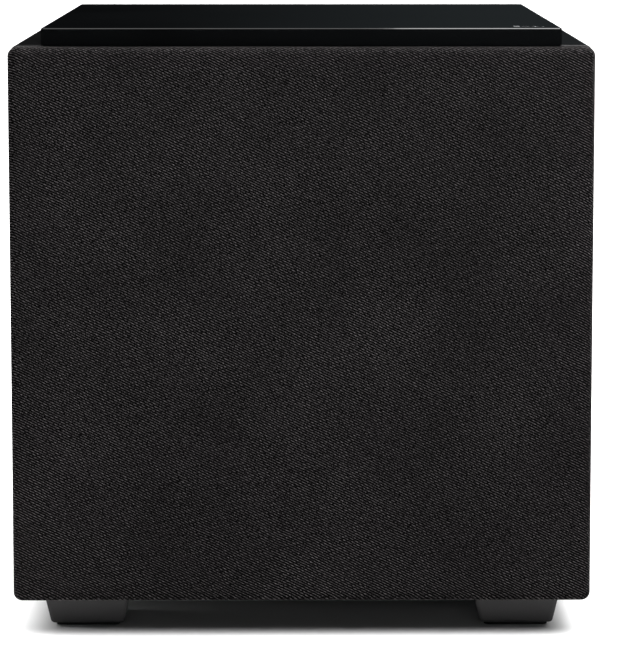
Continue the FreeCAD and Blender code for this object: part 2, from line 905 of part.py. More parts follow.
def side_grille(side, name):
    """A flush side grille: a perforated plate and its cloth, seated in the side board."""
    wide = "side_grille_wide - 2 * side_fit"
    half = "(%s) / 2" % wide
    inner, outer = side_x(side, "half_width - side_pocket", "half_width")
    skin = rounded_box(
        (inner, "middle_y - " + half, "driver_z - " + half),
        (outer, "middle_y + " + half, "driver_z + " + half),
        ("Fillet", "side_grille_round - side_fit", along("x")),
        ("Fillet", "side_edge", on_side("XMax" if side > 0 else "XMin")),
    )
    plate = perforated_plate(
        wide + " - 2 * cloth",
        wide + " - 2 * cloth",
        "side_pocket - cloth",
        SIDE_HOLES,
        "side_grille_round - side_fit - cloth",
    )
    seat_x = "%d * (half_width - side_pocket)" % side
    put(plate, (seat_x, "middle_y", "driver_z"), Rotation(Vector(0, 0, 1), 90 * side))
    keep(plate, "side_grille_plate_" + name)
    room_low, room_high = side_x(side, "half_width - side_pocket - 1", "half_width - cloth")
    room = rounded_box(
        (room_low, "middle_y - %s + cloth" % half, "driver_z - %s + cloth" % half),
        (room_high, "middle_y + %s - cloth" % half, "driver_z + %s - cloth" % half),
        ("Fillet", "side_grille_round - side_fit - cloth", along("x")),
    )
    keep(cut(skin, room), "side_grille_cloth_" + name)


# ---------------------------------------------------------------- woofer


def woofer_part(outline):
    return turned(outline, ("0", "face_y", "driver_z"))


def basket():
    """A cast frame: a flange, a slanted wall with windows, a spider seat and a ring for the magnet."""
    outline = [
        ("flange_out", "0"),
        ("flange_out", "flange_thick"),
        ("driver_hole - frame_fit", "flange_thick"),
        ("driver_hole - frame_fit", "ledge_depth + basket_floor + basket_lip"),
        ("ring_out + 2 * basket_lip", "gap_plate_depth - basket_floor - 2 * basket_lip"),
        ("ring_out", "gap_plate_depth - basket_floor"),
        ("ring_out", "gap_plate_depth"),
        ("ring_in", "gap_plate_depth"),
        ("ring_in", "gap_plate_depth - basket_floor"),
        ("spider_out - spider_seat", "gap_plate_depth - basket_floor"),
        ("spider_out - spider_seat", "spider_depth + spider_cloth"),
        ("ring_out + basket_lip", "spider_depth + spider_cloth"),
        ("driver_hole - frame_fit - basket_wall", "ledge_depth + basket_floor + basket_lip"),
        ("roll_out - basket_lip", "ledge_depth + 3 * basket_lip"),
        ("roll_out - basket_lip", "ledge_depth"),
        ("surround_out + frame_fit", "ledge_depth"),
        ("surround_out + frame_fit", "0"),
    ]
    frame = woofer_part(outline)
    opening = box(
        ("-window_wide / 2", "ledge_depth + window_margin", "ring_out - 20"),
        ("window_wide / 2", "spider_depth - window_margin", "driver_hole + 20"),
    )
    windows = copies(
        opening,
        [
            Placement(
                Vector(0, size("face_y"), size("driver_z")),
                Rotation(Vector(0, 1, 0), 360.0 * number / BASKET_SPOKES),
            )
            for number in range(BASKET_SPOKES)
        ],
    )
    pilot = rod(("0", "-1", "0"), "screw_shank + hole_clearance", "flange_thick + 2", "Y")
    keep(cut(frame, windows, copies(pilot, woofer_ring())), "woofer_basket")


def surround():
    """A rubber ring: an outer lip, a half roll that bulges forwards and an inner lip."""
    face = "ledge_depth - rubber"
    middle = (None, face)
    keep(
        woofer_part(
            [
                ("surround_out", face),
                ("surround_out", "ledge_depth"),
                ("roll_out - rubber", "ledge_depth", middle, False),
                ("roll_in + rubber", "ledge_depth"),
                ("cone_rim", "ledge_depth"),
                ("cone_rim", face),
                ("roll_in", face, middle, True),
                ("roll_out", face),
            ]
        ),
        "woofer_surround",
    )


def spider_outline():
    """A corrugated disc from the former to its seat, as a zigzag with a thickness."""
    front = []
    for number in range(SPIDER_FOLDS + 1):
        share = number / SPIDER_FOLDS
        radius = "cone_neck + side_fit + (spider_out - spider_seat - side_fit - cone_neck) * %g" % share
        depth = "spider_depth - spider_wave * %d" % (number % 2)
        front.append((radius, depth))
    front.append(("spider_out", "spider_depth"))
    back = [(radius, depth + " + spider_cloth") for radius, depth in reversed(front)]
    return front + back


def motor():
    """The coil that moves and the magnet circuit that it moves in."""
    bore = "cone_neck - former_wall"
    keep(
        woofer_part(
            [
                (bore, "former_from"),
                ("cone_neck", "former_from"),
                ("cone_neck", "former_to"),
                (bore, "former_to"),
            ]
        ),
        "woofer_coil_former",
    )
    keep(
        woofer_part(
            [
                ("cone_neck", "coil_from"),
                ("cone_neck + coil_wall", "coil_from"),
                ("cone_neck + coil_wall", "coil_to"),
                ("cone_neck", "coil_to"),
            ]
        ),
        "woofer_voice_coil",
    )
    keep(
        woofer_part(
            [
                ("gap_out", "gap_plate_depth"),
                ("plate_out", "gap_plate_depth"),
                ("plate_out", "magnet_depth"),
                ("gap_out", "magnet_depth"),
            ]
        ),
        "woofer_front_plate",
    )
    keep(
        woofer_part(
            [
                ("magnet_in", "magnet_depth"),
                ("magnet_out", "magnet_depth"),
                ("magnet_out", "yoke_depth"),
                ("magnet_in", "yoke_depth"),
            ]
        ),
        "woofer_magnet",
    )
    keep(
        woofer_part(
            [
                ("pole_vent", "gap_plate_depth"),
                ("gap_in", "gap_plate_depth"),
                ("gap_in", "yoke_depth"),
                ("plate_out", "yoke_depth"),
                ("plate_out", "yoke_depth + yoke_thick - 2"),
                ("plate_out - 2", "yoke_depth + yoke_thick"),
                ("pole_vent", "yoke_depth + yoke_thick"),
            ]
        ),
        "woofer_yoke",
    )


def cone_depth(radius):
    """How deep the cone's front surface is at a radius."""
    return "ledge_depth + cone_deep * (cone_rim - (%s)) / (cone_rim - cone_neck)" % radius


def woofer():
    basket()
    keep(
        cut(
            woofer_part(
                [
                    ("trim_in", "-trim_thick"),
                    ("flange_out - 1", "-trim_thick"),
                    ("flange_out - 0.5", "0"),
                    ("trim_in", "0"),
                ]
            ),
            copies(rod(("0", "-3", "0"), "screw_head + 0.3", "6", "Y"), woofer_ring()),
        ),
        "woofer_trim_ring",
    )
    surround()
    keep(
        woofer_part(
            [
                ("cone_rim", "ledge_depth"),
                ("roll_in", "ledge_depth"),
                ("roll_in", "ledge_depth + paper"),
                ("cone_rim", "ledge_depth + 2 * paper"),
                ("cone_neck + cone_collar", cone_depth("cone_neck + cone_collar") + " + 2 * paper"),
                ("cone_neck", cone_depth("cone_neck + cone_collar") + " + 2 * paper"),
                ("cone_neck", cone_depth("cone_neck")),
            ]
        ),
        "woofer_cone",
    )
    dome_top = cone_depth("dome_out") + " - dome_high"
    keep(
        woofer_part(
            [
                ("0", dome_top, ("0", None), True),
                ("dome_out", cone_depth("dome_out")),
                ("dome_out - paper", cone_depth("dome_out - paper"), ("0", None), False),
                ("0", dome_top + " + paper"),
            ]
        ),
        "woofer_dust_cap",
    )
    keep(woofer_part(spider_outline()), "woofer_spider")
    motor()
    terminals()
    leads()


def terminals():
    """An insulating block on the rim of the basket's rear ring, with two blade tabs."""
    depth = "face_y + gap_plate_depth"
    block = box(
        ("-terminal_half", depth + " - terminal_thick", "driver_z - ring_out - terminal_high"),
        ("terminal_half", depth, "driver_z - ring_out + terminal_high"),
    )
    ring = rod(("0", "face_y", "driver_z"), "ring_out", "gap_plate_depth + 2", "Y")
    tabs = [
        box(
            ("%d * tab_pitch - tab_half" % s, depth, "driver_z - ring_out - tab_drop"),
            (
                "%d * tab_pitch + tab_half" % s,
                depth + " + tab_long",
                "driver_z - ring_out - tab_drop + tab_thick",
            ),
        )
        for s in (-1, 1)
    ]
    keep(grouped(cut(block, ring), *tabs), "woofer_terminals")


def tube(points, radius):
    """A tube along straight runs joined by tangent arcs, each as large as its runs allow."""
    edges = []
    at = points[0]
    for before, corner, after in zip(points, points[1:], points[2:]):
        run_in, run_out = corner - before, after - corner
        shorter = min(run_in.Length, run_out.Length)
        turn = run_in.getAngle(run_out)
        reach = BEND_SHARE * shorter
        start = corner - run_in.normalize() * reach
        end = corner + run_out.normalize() * reach
        bend = reach / math.tan(turn / 2)
        print("lead bend radius %.1f mm" % bend)
        inward = ((start - corner).normalize() + (end - corner).normalize()).normalize()
        centre = corner + inward * math.hypot(reach, bend)
        middle = centre - inward * bend
        edges.append(Part.LineSegment(at, start).toShape())
        edges.append(Part.Arc(start, middle, end).toShape())
        at = end
    edges.append(Part.LineSegment(at, points[-1]).toShape())
    path = Part.Wire(edges)
    section = Part.Wire(Part.Circle(points[0], points[1] - points[0], radius).toShape())
    swept = path.makePipeShell([section], True, False)
    expected = path.Length * math.pi * radius**2
    if abs(swept.Volume - expected) > LEAD_VOLUME_TOLERANCE * expected:
        raise RuntimeError("the lead's volume is %g, not %g" % (swept.Volume, expected))
    return swept


def leads():
    """The two leads from the amplifier board to the woofer's tabs, along the floor of the box."""
    tab_z = size("driver_z - ring_out - tab_drop + tab_thick / 2")
    board_y = size("plate_in - amp_board_gap")
    shapes = []
    for side in (-1, 1):
        start = Vector(side * size("tab_pitch"), size("face_y + gap_plate_depth + tab_long"), tab_z)
        points = [start] + [start + Vector(*step) for step in LEAD_ROUTE]
        end = Vector(start.x + LEAD_END[0], board_y, tab_z + LEAD_END[1])
        points += [end - Vector(0, LEAD_END_RUN, 0), end]
        shapes.append(tube(points, size("lead")))
    thing = doc.addObject("Part::Feature", "Leads")
    thing.Shape = Part.makeCompound(shapes)
    keep(thing, "woofer_leads")


# ---------------------------------------------------------------- passive radiators


def radiator(side, name):
    """One side radiator, seated from outside: a frame, a roll that bulges inwards and a weighted piston."""
    at = ("%d * half_width" % side, "middle_y", "driver_z")
    turn = Rotation(Vector(0, 0, 1), 90 * side)
    wall_in = "surround_out + radiator_wall_gap"
    frame = turned(
        [
            ("surround_out + frame_fit", "radiator_seat - radiator_flange"),
            ("flange_out", "radiator_seat - radiator_flange"),
            ("flange_out", "radiator_seat"),
            ("driver_hole - frame_fit", "radiator_seat"),
            ("driver_hole - frame_fit", "radiator_seat + radiator_wall_deep"),
            (wall_in, "radiator_seat + radiator_wall_deep"),
            (wall_in, "radiator_seat + radiator_ledge"),
            ("radiator_roll_out", "radiator_seat + radiator_ledge"),
            ("radiator_roll_out", "radiator_seat"),
            ("surround_out + frame_fit", "radiator_seat"),
        ],
        at,
        turn,
    )
    pilot = rod(("0", "-1", "0"), "screw_shank + hole_clearance", "radiator_seat + 2", "Y")
    keep(cut(frame, copies(pilot, radiator_ring(side))), "radiator_frame_" + name)

    face = "radiator_seat - rubber"
    middle = (None, "radiator_seat")
    roll = turned(
        [
            ("surround_out", face),
            ("surround_out", "radiator_seat"),
            ("radiator_roll_out", "radiator_seat", middle, True),
            ("roll_in", "radiator_seat"),
            ("cone_rim", "radiator_seat"),
            ("cone_rim", face),
            ("roll_in + rubber", face, middle, False),
            ("radiator_roll_out - rubber", face),
        ],
        at,
        turn,
    )
    keep(roll, "radiator_surround_" + name)

    piston = turned(
        [
            ("0", "radiator_seat"),
            ("roll_in - frame_fit", "radiator_seat"),
            ("roll_in - frame_fit", "radiator_seat + piston_thick"),
            ("piston_weight_out", "radiator_seat + piston_thick"),
            ("piston_weight_out", "radiator_seat + piston_weight_thick"),
            ("0", "radiator_seat + piston_weight_thick"),
        ],
        at,
        turn,
    )
    keep(piston, "radiator_piston_" + name)


def driver_screws():
    """All the screws that hold the woofer and the two radiators."""
    long_one = screw("screw_shank", "screw_head", "screw_long", "2.4")
    short_one = screw("screw_shank", "screw_head", "radiator_screw", "2.4")
    seat = size("radiator_seat - radiator_flange")
    woofer_set = copies(long_one, woofer_ring())
    side_sets = [
        copies(
            short_one,
            [p.multiply(Placement(Vector(0, seat, 0), Rotation())) for p in radiator_ring(side)],
        )
        for side in (-1, 1)
    ]
    keep(grouped(woofer_set, *side_sets), "driver_screws")


# ---------------------------------------------------------------- amplifier


def amp_plate():
    """The metal plate with its holes for knobs, switches, sockets and screws."""
    slab = box(("-amp_width / 2", "plate_in", "amp_low"), ("amp_width / 2", "back_y", "amp_top"))
    through = ("plate_in - 1", "amp_plate + 2")
    tools = [
        rod((str(x), through[0], "control_row"), "stem + 0.5", through[1], "Y")
        for x in (LEVEL_X, CROSSOVER_X)
    ]
    tools += [
        rod((str(x), through[0], "socket_row"), "rca_barrel + 0.35", through[1], "Y") for x in RCA_X
    ]
    tools += [
        box(
            ("%d - slot_wide / 2" % x, through[0], "control_row - slot_high / 2"),
            ("%d + slot_wide / 2" % x, "back_y + 1", "control_row + slot_high / 2"),
        )
        for x in (PHASE_X, MODE_X)
    ]
    inlet_x, inlet_z = "(inlet_wide / 2 + inlet_wall + 0.2)", "(inlet_high / 2 + inlet_wall + 0.2)"
    tools.append(
        box(
            ("%d - %s" % (INLET_X, inlet_x), through[0], "socket_row - " + inlet_z),
            ("%d + %s" % (INLET_X, inlet_x), "back_y + 1", "socket_row + " + inlet_z),
        )
    )
    rocker_x, rocker_z = "(rocker_wide / 2 + 1.7)", "(rocker_half + 2.2)"
    tools.append(
        box(
            ("%d - %s" % (ROCKER_X, rocker_x), through[0], "socket_row - " + rocker_z),
            ("%d + %s" % (ROCKER_X, rocker_x), "back_y + 1", "socket_row + " + rocker_z),
        )
    )
    tools.append(
        copies(
            rod(("0", "-5", "0"), "screw_shank + hole_clearance", "10", "Y"),
            [Placement(Vector(x, size("back_y"), z), Rotation()) for x, z in amp_screw_points()],
        )
    )
    keep(cut(slab, *tools), "amp_plate")
    inwards = Rotation(Vector(0, 0, 1), 180)
    fixing = screw("screw_shank", "screw_head - 0.6", "amp_screw", "2")
    places = [Placement(Vector(x, size("back_y"), z), inwards) for x, z in amp_screw_points()]
    keep(copies(fixing, places), "amp_screws")


def heat_sink():
    base = box(
        ("-sink_wide / 2", "back_y", "sink_low"),
        ("sink_wide / 2", "back_y + sink_base", "sink_low + sink_high"),
    )
    fins = []
    for number in range(SINK_FINS):
        x = "-sink_wide / 2 + (sink_wide - fin) * %g" % (number / (SINK_FINS - 1))
        fins.append(
            box((x, "back_y", "sink_low"), (x + " + fin", "back_y + sink_deep", "sink_low + sink_high"))
        )
    keep(fused(base, *fins), "heat_sink")


def knob(label, x):
    """A fluted knob on a moulded stem that turns in its control's bush."""
    at = (str(x), "back_y", "control_row")
    head = turned(
        [
            ("0", "0.6"),
            ("knob_out", "0.6"),
            ("knob_out", "1.8"),
            ("knob_out - 1", "2.4"),
            ("knob_out - 1.4", "knob_reach - 0.8"),
            ("knob_out - 2.2", "knob_reach"),
            ("0", "knob_reach"),
        ],
        at,
    )
    stem = rod((str(x), "back_y - stem_deep", "control_row"), "stem", "stem_deep + 2", "Y")
    flutes = [
        Placement(
            Vector(x, size("back_y"), size("control_row")),
            Rotation(Vector(0, 1, 0), 360.0 * number / KNOB_FLUTES),
        )
        for number in range(KNOB_FLUTES)
    ]
    groove = rod(("knob_out - 0.7", "2.4", "0"), "flute", "knob_reach", "Y")
    pointer = box(
        ("%d - pointer / 2" % x, "back_y + knob_reach - pointer / 2", "control_row + 2"),
        ("%d + pointer / 2" % x, "back_y + knob_reach + 1", "control_row + knob_out"),
    )
    keep(cut(fused(head, stem), copies(groove, flutes), pointer), label)


def controls():
    knob("level_knob", LEVEL_X)
    knob("crossover_knob", CROSSOVER_X)
    pots = []
    for x in (LEVEL_X, CROSSOVER_X):
        can = box(
            ("%d - pot_wide / 2" % x, "plate_in - pot_deep", "control_row - pot_wide / 2"),
            ("%d + pot_wide / 2" % x, "plate_in", "control_row + pot_wide / 2"),
        )
        bore_start = (str(x), "plate_in - pot_deep + 1", "control_row")
        bore = rod(bore_start, "stem + stem_clearance", "pot_deep + 1", "Y")
        pots.append(cut(can, bore))
    keep(grouped(*pots), "control_pots")
    bodies = []
    for label, x in (("phase_switch_lever", PHASE_X), ("mode_switch_lever", MODE_X)):
        left = "%d - slot_wide / 2 + lever_fit" % x
        half_high = "slot_high / 2 - lever_fit"
        lever = box(
            (left, "plate_in - lever_root", "control_row - (%s)" % half_high),
            (left + " + lever_wide", "back_y + lever_proud", "control_row + " + half_high),
        )
        keep(lever, label)
        can_half = "slot_wide / 2 + switch_margin"
        can = box(
            ("%d - (%s)" % (x, can_half), "plate_in - switch_deep", "control_row - switch_high / 2"),
            ("%d + (%s)" % (x, can_half), "plate_in", "control_row + switch_high / 2"),
        )
        track = box(
            ("%d - slot_wide / 2" % x, "plate_in - lever_root - lever_fit", "control_row - slot_high / 2"),
            ("%d + slot_wide / 2" % x, "plate_in + 1", "control_row + slot_high / 2"),
        )
        bodies.append(cut(can, track))
    keep(grouped(*bodies), "slide_switch_bodies")


def power_switch():
    """A rocker that tips about a pivot level with the plate's outer face."""
    half = "rocker_half"
    outline = [
        ("-" + half, "2.5"),
        ("-%s + 0.8" % half, "-4"),
        ("0", "-6"),
        (half + " - 0.8", "-4"),
        (half, "2.5"),
        ("0", "1"),
    ]
    # the outline's first axis lies along Z and its second points out of the plate
    turn = Rotation(Vector(1, 0, 0), -size("rocker_tilt")).multiply(
        Rotation(Vector(0, 0, 1), Vector(0, 1, 0), Vector(1, 0, 0), "ZXY")
    )
    rocker = prism(outline, "rocker_wide", role="XY_Plane")
    doc.recompute()
    centred = Placement(Vector(0, 0, -size("rocker_wide") / 2), Rotation())
    place = Placement(Vector(ROCKER_X, size("back_y"), size("socket_row")), turn)
    keep(copies(rocker, [place.multiply(centred)]), "power_rocker")

    def room(across, up, deep, out):
        """The box's corners that far across and up from the rocker's middle."""
        return [
            ("%d %s (%s)" % (ROCKER_X, sign, across), reach, "socket_row %s (%s)" % (sign, up))
            for sign, reach in (("-", "back_y - " + deep), ("+", "back_y + " + out))
        ]

    wide, high = "rocker_wide / 2", "rocker_half"
    can = box(*room(wide + " + bezel / 2", high + " + bezel - 1", "rocker_case", "inlet_lip"))
    bezel = rounded_box(
        *room(wide + " + bezel", high + " + rocker_swing + bezel", "0", "inlet_lip"),
        ("Fillet", "1", along("y")),
        ("Chamfer", "0.5", on_side("YMax")),
    )
    well = box(*room(wide + " + rocker_gap", high + " + rocker_swing", "rocker_well", "inlet_lip + 3"))
    keep(cut(fused(can, bezel), well), "power_switch_body")


def inlet_outline(grow):
    """The inlet's six-sided outline, cut across at its two top corners."""
    x, z = "(inlet_wide / 2 + %s)" % grow, "(inlet_high / 2 + %s)" % grow
    return [
        ("-" + x, "-" + z),
        (x, "-" + z),
        (x, z + " - inlet_corner"),
        (x + " - inlet_corner", z),
        ("-%s + inlet_corner" % x, z),
        ("-" + x, z + " - inlet_corner"),
    ]


def power_inlet():
    """A three-pin mains inlet with a lip outside the plate."""
    at = (str(INLET_X), "back_y + inlet_lip", "socket_row")
    shell = prism(inlet_outline("inlet_wall"), "inlet_deep + 5", at)
    across, up = "(inlet_wide / 2 + bezel + 1)", "(inlet_high / 2 + bezel)"
    lip = rounded_box(
        ("%d - %s" % (INLET_X, across), "back_y", "socket_row - " + up),
        ("%d + %s" % (INLET_X, across), "back_y + inlet_lip", "socket_row + " + up),
        ("Fillet", "1.5", along("y")),
        ("Chamfer", "0.5", on_side("YMax")),
    )
    mouth = prism(inlet_outline("0"), "inlet_deep + 1", (at[0], "back_y + inlet_lip + 1", at[2]))
    floor_y = "back_y + inlet_lip - inlet_deep"
    pins = [
        box(
            ("%g - inlet_pin_half" % x, floor_y + " - inlet_tail", "socket_row + %g - inlet_pin_tall" % z),
            ("%g + inlet_pin_half" % x, floor_y + " + inlet_pin", "socket_row + %g + inlet_pin_tall" % z),
        )
        for x, z in [(INLET_X + across_pin, up_pin) for across_pin, up_pin in INLET_PINS]
    ]
    keep(cut(fused(shell, lip), mouth, *pins), "power_inlet")
    keep(grouped(*pins), "inlet_pins")


def sockets():
    jacks = []
    for x in RCA_X:
        shell = turned(
            [
                ("rca_inner", "-4"),
                ("rca_barrel", "-4"),
                ("rca_barrel", "0"),
                ("rca_flange", "0"),
                ("rca_flange", "1.2"),
                ("rca_barrel", "1.5"),
                ("rca_barrel", "rca_long"),
                ("rca_inner", "rca_long"),
            ],
            (str(x), "back_y", "socket_row"),
        )
        core = turned(
            [
                ("0", "-12"),
                ("rca_inner", "-12"),
                ("rca_inner", "rca_long - 1.2"),
                ("1.6", "rca_long - 1.2"),
                ("1.6", "0.5"),
                ("0", "0.5"),
            ],
            (str(x), "back_y", "socket_row"),
        )
        jacks += [shell, core]
    keep(grouped(*jacks), "rca_jacks")


def electronics():
    """The circuit board behind the plate and the tall parts that stand on it."""
    board_y = "plate_in - amp_board_gap"
    card = box(("-board_half", board_y, "board_low"), ("board_half", board_y + " + pcb", "board_top"))
    posts = [
        rod((x, board_y + " + pcb", z), "stand_off", "amp_board_gap - pcb", "Y")
        for x in ("-stand_off_x", "stand_off_x")
        for z in ("stand_off_low", "stand_off_top")
    ]
    keep(fused(card, *posts), "amp_board")
    blocks = [
        rounded_box(
            (str(x_low), "%s - %g" % (board_y, deep), str(z_low)),
            (str(x_high), board_y, str(z_high)),
            ("Fillet", str(corner), along("y")),
        )
        for x_low, x_high, z_low, z_high, deep, corner in BOARD_BLOCKS
    ]
    cans = [
        rod((str(x), board_y + " - capacitor_long", "capacitor_z"), "capacitor_out", "capacitor_long", "Y")
        for x in CAPACITOR_X
    ]
    keep(grouped(*blocks, *cans), "amp_power_parts")


# ---------------------------------------------------------------- assembly


def build():
    boards()
    feet()
    cap()
    grille()
    woofer()
    for side, name in ((-1, "left"), (1, "right")):
        radiator(side, name)
        side_grille(side, name)
    driver_screws()
    amp_plate()
    heat_sink()
    controls()
    power_switch()
    power_inlet()
    sockets()
    electronics()
    doc.recompute()


def check():
    """Stops the build if any object failed or any sub-part is empty or broken."""
    for thing in doc.Objects:
        if {"Invalid", "Error"} & set(thing.State):
            raise RuntimeError("%s failed: %s" % (thing.Name, thing.State))
    for thing in PARTS:
        shape = thing.Shape
        if shape.isNull() or not shape.isValid() or not shape.Solids:
            raise RuntimeError("%s has no valid solid" % thing.Label)


def write():
    os.makedirs("parts", exist_ok=True)
    for old in os.listdir("parts"):
        os.remove(os.path.join("parts", old))
    for thing in PARTS:
        thing.Shape.exportStep("parts/%s.step" % thing.Label)
    print("%d sub-parts" % len(PARTS))


build()
check()
write()
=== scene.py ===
"""The subwoofer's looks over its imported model: cloth, gloss, moulded and metal surfaces, and a studio."""
import json
import math

import bmesh
import bpy
from mathutils import Euler, Matrix, Vector, noise

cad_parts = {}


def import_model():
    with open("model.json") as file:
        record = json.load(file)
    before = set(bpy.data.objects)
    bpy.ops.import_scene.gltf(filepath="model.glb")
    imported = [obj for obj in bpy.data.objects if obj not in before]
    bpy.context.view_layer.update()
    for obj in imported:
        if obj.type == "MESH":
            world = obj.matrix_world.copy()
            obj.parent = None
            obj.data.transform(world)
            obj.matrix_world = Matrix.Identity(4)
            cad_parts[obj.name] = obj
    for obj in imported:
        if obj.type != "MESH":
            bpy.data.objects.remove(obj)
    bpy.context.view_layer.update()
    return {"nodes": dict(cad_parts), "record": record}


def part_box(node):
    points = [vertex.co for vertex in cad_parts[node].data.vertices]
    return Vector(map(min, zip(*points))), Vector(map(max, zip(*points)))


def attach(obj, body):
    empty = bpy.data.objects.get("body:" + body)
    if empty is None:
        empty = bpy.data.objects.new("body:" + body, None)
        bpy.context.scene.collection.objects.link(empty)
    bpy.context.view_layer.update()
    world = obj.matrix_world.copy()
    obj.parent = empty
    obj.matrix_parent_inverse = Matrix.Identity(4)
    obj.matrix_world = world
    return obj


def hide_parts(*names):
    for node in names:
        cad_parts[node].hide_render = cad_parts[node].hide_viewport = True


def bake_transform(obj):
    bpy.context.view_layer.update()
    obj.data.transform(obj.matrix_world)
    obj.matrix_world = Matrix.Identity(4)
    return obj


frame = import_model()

NODES = frame["nodes"]
MM = 0.001

SLOT_OF = {row["node"]: row["material_slot"] for row in frame["record"]["subparts"]}


def middle(node):
    """The middle of a node's box."""
    low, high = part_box(node)
    return (low + high) / 2


FACE_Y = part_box("woofer_basket")[0].y
DRIVER_Z = middle("woofer_basket").z
RADIATOR_Y = middle("radiator_frame_right").y
PLATE_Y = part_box("amp_plate")[1].y

# how far each phono jack's middle lies from the row's +x end: right, left and direct input
JACK_INSETS = (6.4 * MM, 31.4 * MM, 62.4 * MM)

# ---------------------------------------------------------------- materials


class Look:
    """One procedural material round a Principled shader, patterned in the object's own space."""

    def __init__(self, name, **sockets):
        self.material = bpy.data.materials.new(name)
        self.material.use_nodes = True
        self.tree = self.material.node_tree
        self.shader = self.tree.nodes["Principled BSDF"]
        for socket, value in sockets.items():
            self.shader.inputs[socket.replace("_", " ")].default_value = value
        self.place = self.node("ShaderNodeTexCoord").outputs["Object"]

    def node(self, kind, *inputs, **settings):
        """Adds a node and feeds its inputs in order, leaving those given as None."""
        made = self.tree.nodes.new(kind)
        for setting, value in settings.items():
            setattr(made, setting, value)
        for socket, value in zip(made.inputs, inputs):
            self.feed(socket, value)
        return made

    def feed(self, socket, value):
        if isinstance(value, bpy.types.NodeSocket):
            self.tree.links.new(value, socket)
        elif value is not None:
            socket.default_value = value

    def calc(self, operation, *values):
        return self.node("ShaderNodeMath", *values, operation=operation).outputs[0]

    def blotches(self, size_mm, detail=2.0, stretch=(1, 1, 1), rough=0.5):
        """Noise from 0 to 1, with features about that large, longer along an axis with a small stretch."""
        scale = [s / (size_mm * MM) for s in stretch]
        spread = self.node("ShaderNodeMapping", self.place, None, None, scale)
        made = self.node("ShaderNodeTexNoise", spread.outputs[0])
        made.inputs["Scale"].default_value = 1.0
        made.inputs["Detail"].default_value = detail
        made.inputs["Roughness"].default_value = rough
        return made.outputs["Fac"]

    def cells(self, size_mm):
        """Distance to the nearest cell's middle, for pebbles and grains."""
        made = self.node("ShaderNodeTexVoronoi", self.place)
        made.inputs["Scale"].default_value = 1 / (size_mm * MM)
        return made.outputs["Distance"]

    def along(self, direction):
        """How far along a direction a point lies, in metres."""
        unit = Vector(direction).normalized()
        made = self.node("ShaderNodeVectorMath", self.place, tuple(unit), operation="DOT_PRODUCT")
        return made.outputs["Value"]

    def waves(self, distance, period_mm, shift=None):
        """A sine from 0 to 1 over a distance in metres, moved along by a shift in turns."""
        turns = self.calc("MULTIPLY", distance, math.tau / (period_mm * MM))
        if shift is not None:
            turns = self.calc("MULTIPLY_ADD", shift, math.tau, turns)
        return self.calc("MULTIPLY_ADD", self.calc("SINE", turns), 0.5, 0.5)

    def from_axis(self, axis, centre):
        """Distance from a line through centre along a world axis."""
        keep = tuple(0.0 if letter == axis else 1.0 for letter in "xyz")
        away = self.node("ShaderNodeVectorMath", self.place, tuple(centre), operation="SUBTRACT")
        flat = self.node("ShaderNodeVectorMath", away.outputs[0], keep, operation="MULTIPLY")
        return self.node("ShaderNodeVectorMath", flat.outputs[0], operation="LENGTH").outputs["Value"]

    def fade(self, value, low, high, start=0.0, end=1.0):
        """From start to end as the value goes from low to high, and level beyond them."""
        return self.node("ShaderNodeMapRange", value, low, high, start, end).outputs[0]

    def mix(self, factor, first, second):
        """From the first colour to the second as the factor goes from 0 to 1."""
        made = self.node("ShaderNodeMix", data_type="RGBA")
        for index, value in ((0, factor), (6, first), (7, second)):
            if isinstance(value, tuple) and len(value) == 3:
                value = (*value, 1.0)
            self.feed(made.inputs[index], value)
        return made.outputs[2]

    def paint(self, colour):
        self.feed(self.shader.inputs["Base Color"], colour)

    def dull(self, value, low, high):
        """Roughness from low to high as the value goes from 0 to 1."""
        self.feed(self.shader.inputs["Roughness"], self.fade(value, 0.0, 1.0, low, high))

    def relief(self, *heights):
        """Bumps, each given as (height from 0 to 1, depth in mm), over one another."""
        under = None
        for height, depth_mm in heights:
            made = self.node("ShaderNodeBump")
            made.inputs["Distance"].default_value = depth_mm * MM
            self.feed(made.inputs["Height"], height)
            self.feed(made.inputs["Normal"], under)
            under = made.outputs["Normal"]
        self.feed(self.shader.inputs["Normal"], under)


def woven(name, tone, tint=(1.09, 0.99, 1.02), period=1.34):
    """Black acoustic twill: diagonal ribs of short floats, a little uneven from place to place.

    The tone sets how pale the thread crests are painted: partly the weave's own pattern, partly painted
    highlight standing in for overhead light on the rib tops. The period is the distance between two ribs in
    mm."""
    look = Look(name, Roughness=0.5, Specular_IOR_Level=0.04, Sheen_Weight=0.26, Sheen_Roughness=0.17)
    look.shader.inputs["Sheen Tint"].default_value = (1.0, 0.97, 0.96, 1.0)
    across_ribs = look.along((0.447, 0.4, 0.894))
    along_ribs = look.along((0.894, -0.3, -0.447))
    drift = look.blotches(24, 1.0)
    rib = look.waves(across_ribs, period, drift)
    stagger = look.calc("MULTIPLY", across_ribs, 0.5 / (period * MM))
    floats = look.waves(along_ribs, period * 2.6, look.calc("ADD", stagger, drift))
    thin, dense = 0.72, 1.12
    patch = look.fade(look.blotches(60, 3.0), 0.3, 0.7, thin, dense)
    slub = look.fade(look.blotches(1.0, 1.0), 0.3, 0.7, 0.0, 2.1)
    # pale rib crests: partly the weave's pattern, partly painted highlight for the overhead light on the rib
    # tops
    crest = look.calc("POWER", rib, 3.8)
    thread = look.calc("MULTIPLY", crest, look.fade(floats, 0.0, 1.0, 0.55, 1.4))
    thread = look.calc("MULTIPLY", look.calc("MULTIPLY", thread, slub), patch)
    gap = look.fade(patch, thin, dense, 0.12 * tone, 0.02 * tone)
    level = look.calc("MULTIPLY_ADD", thread, 6.2 * tone, gap)
    channels = [look.calc("MULTIPLY", level, share) for share in tint]
    look.paint(look.node("ShaderNodeCombineColor", *channels).outputs[0])
    look.relief((rib, 0.4), (slub, 0.1))
    return look.material


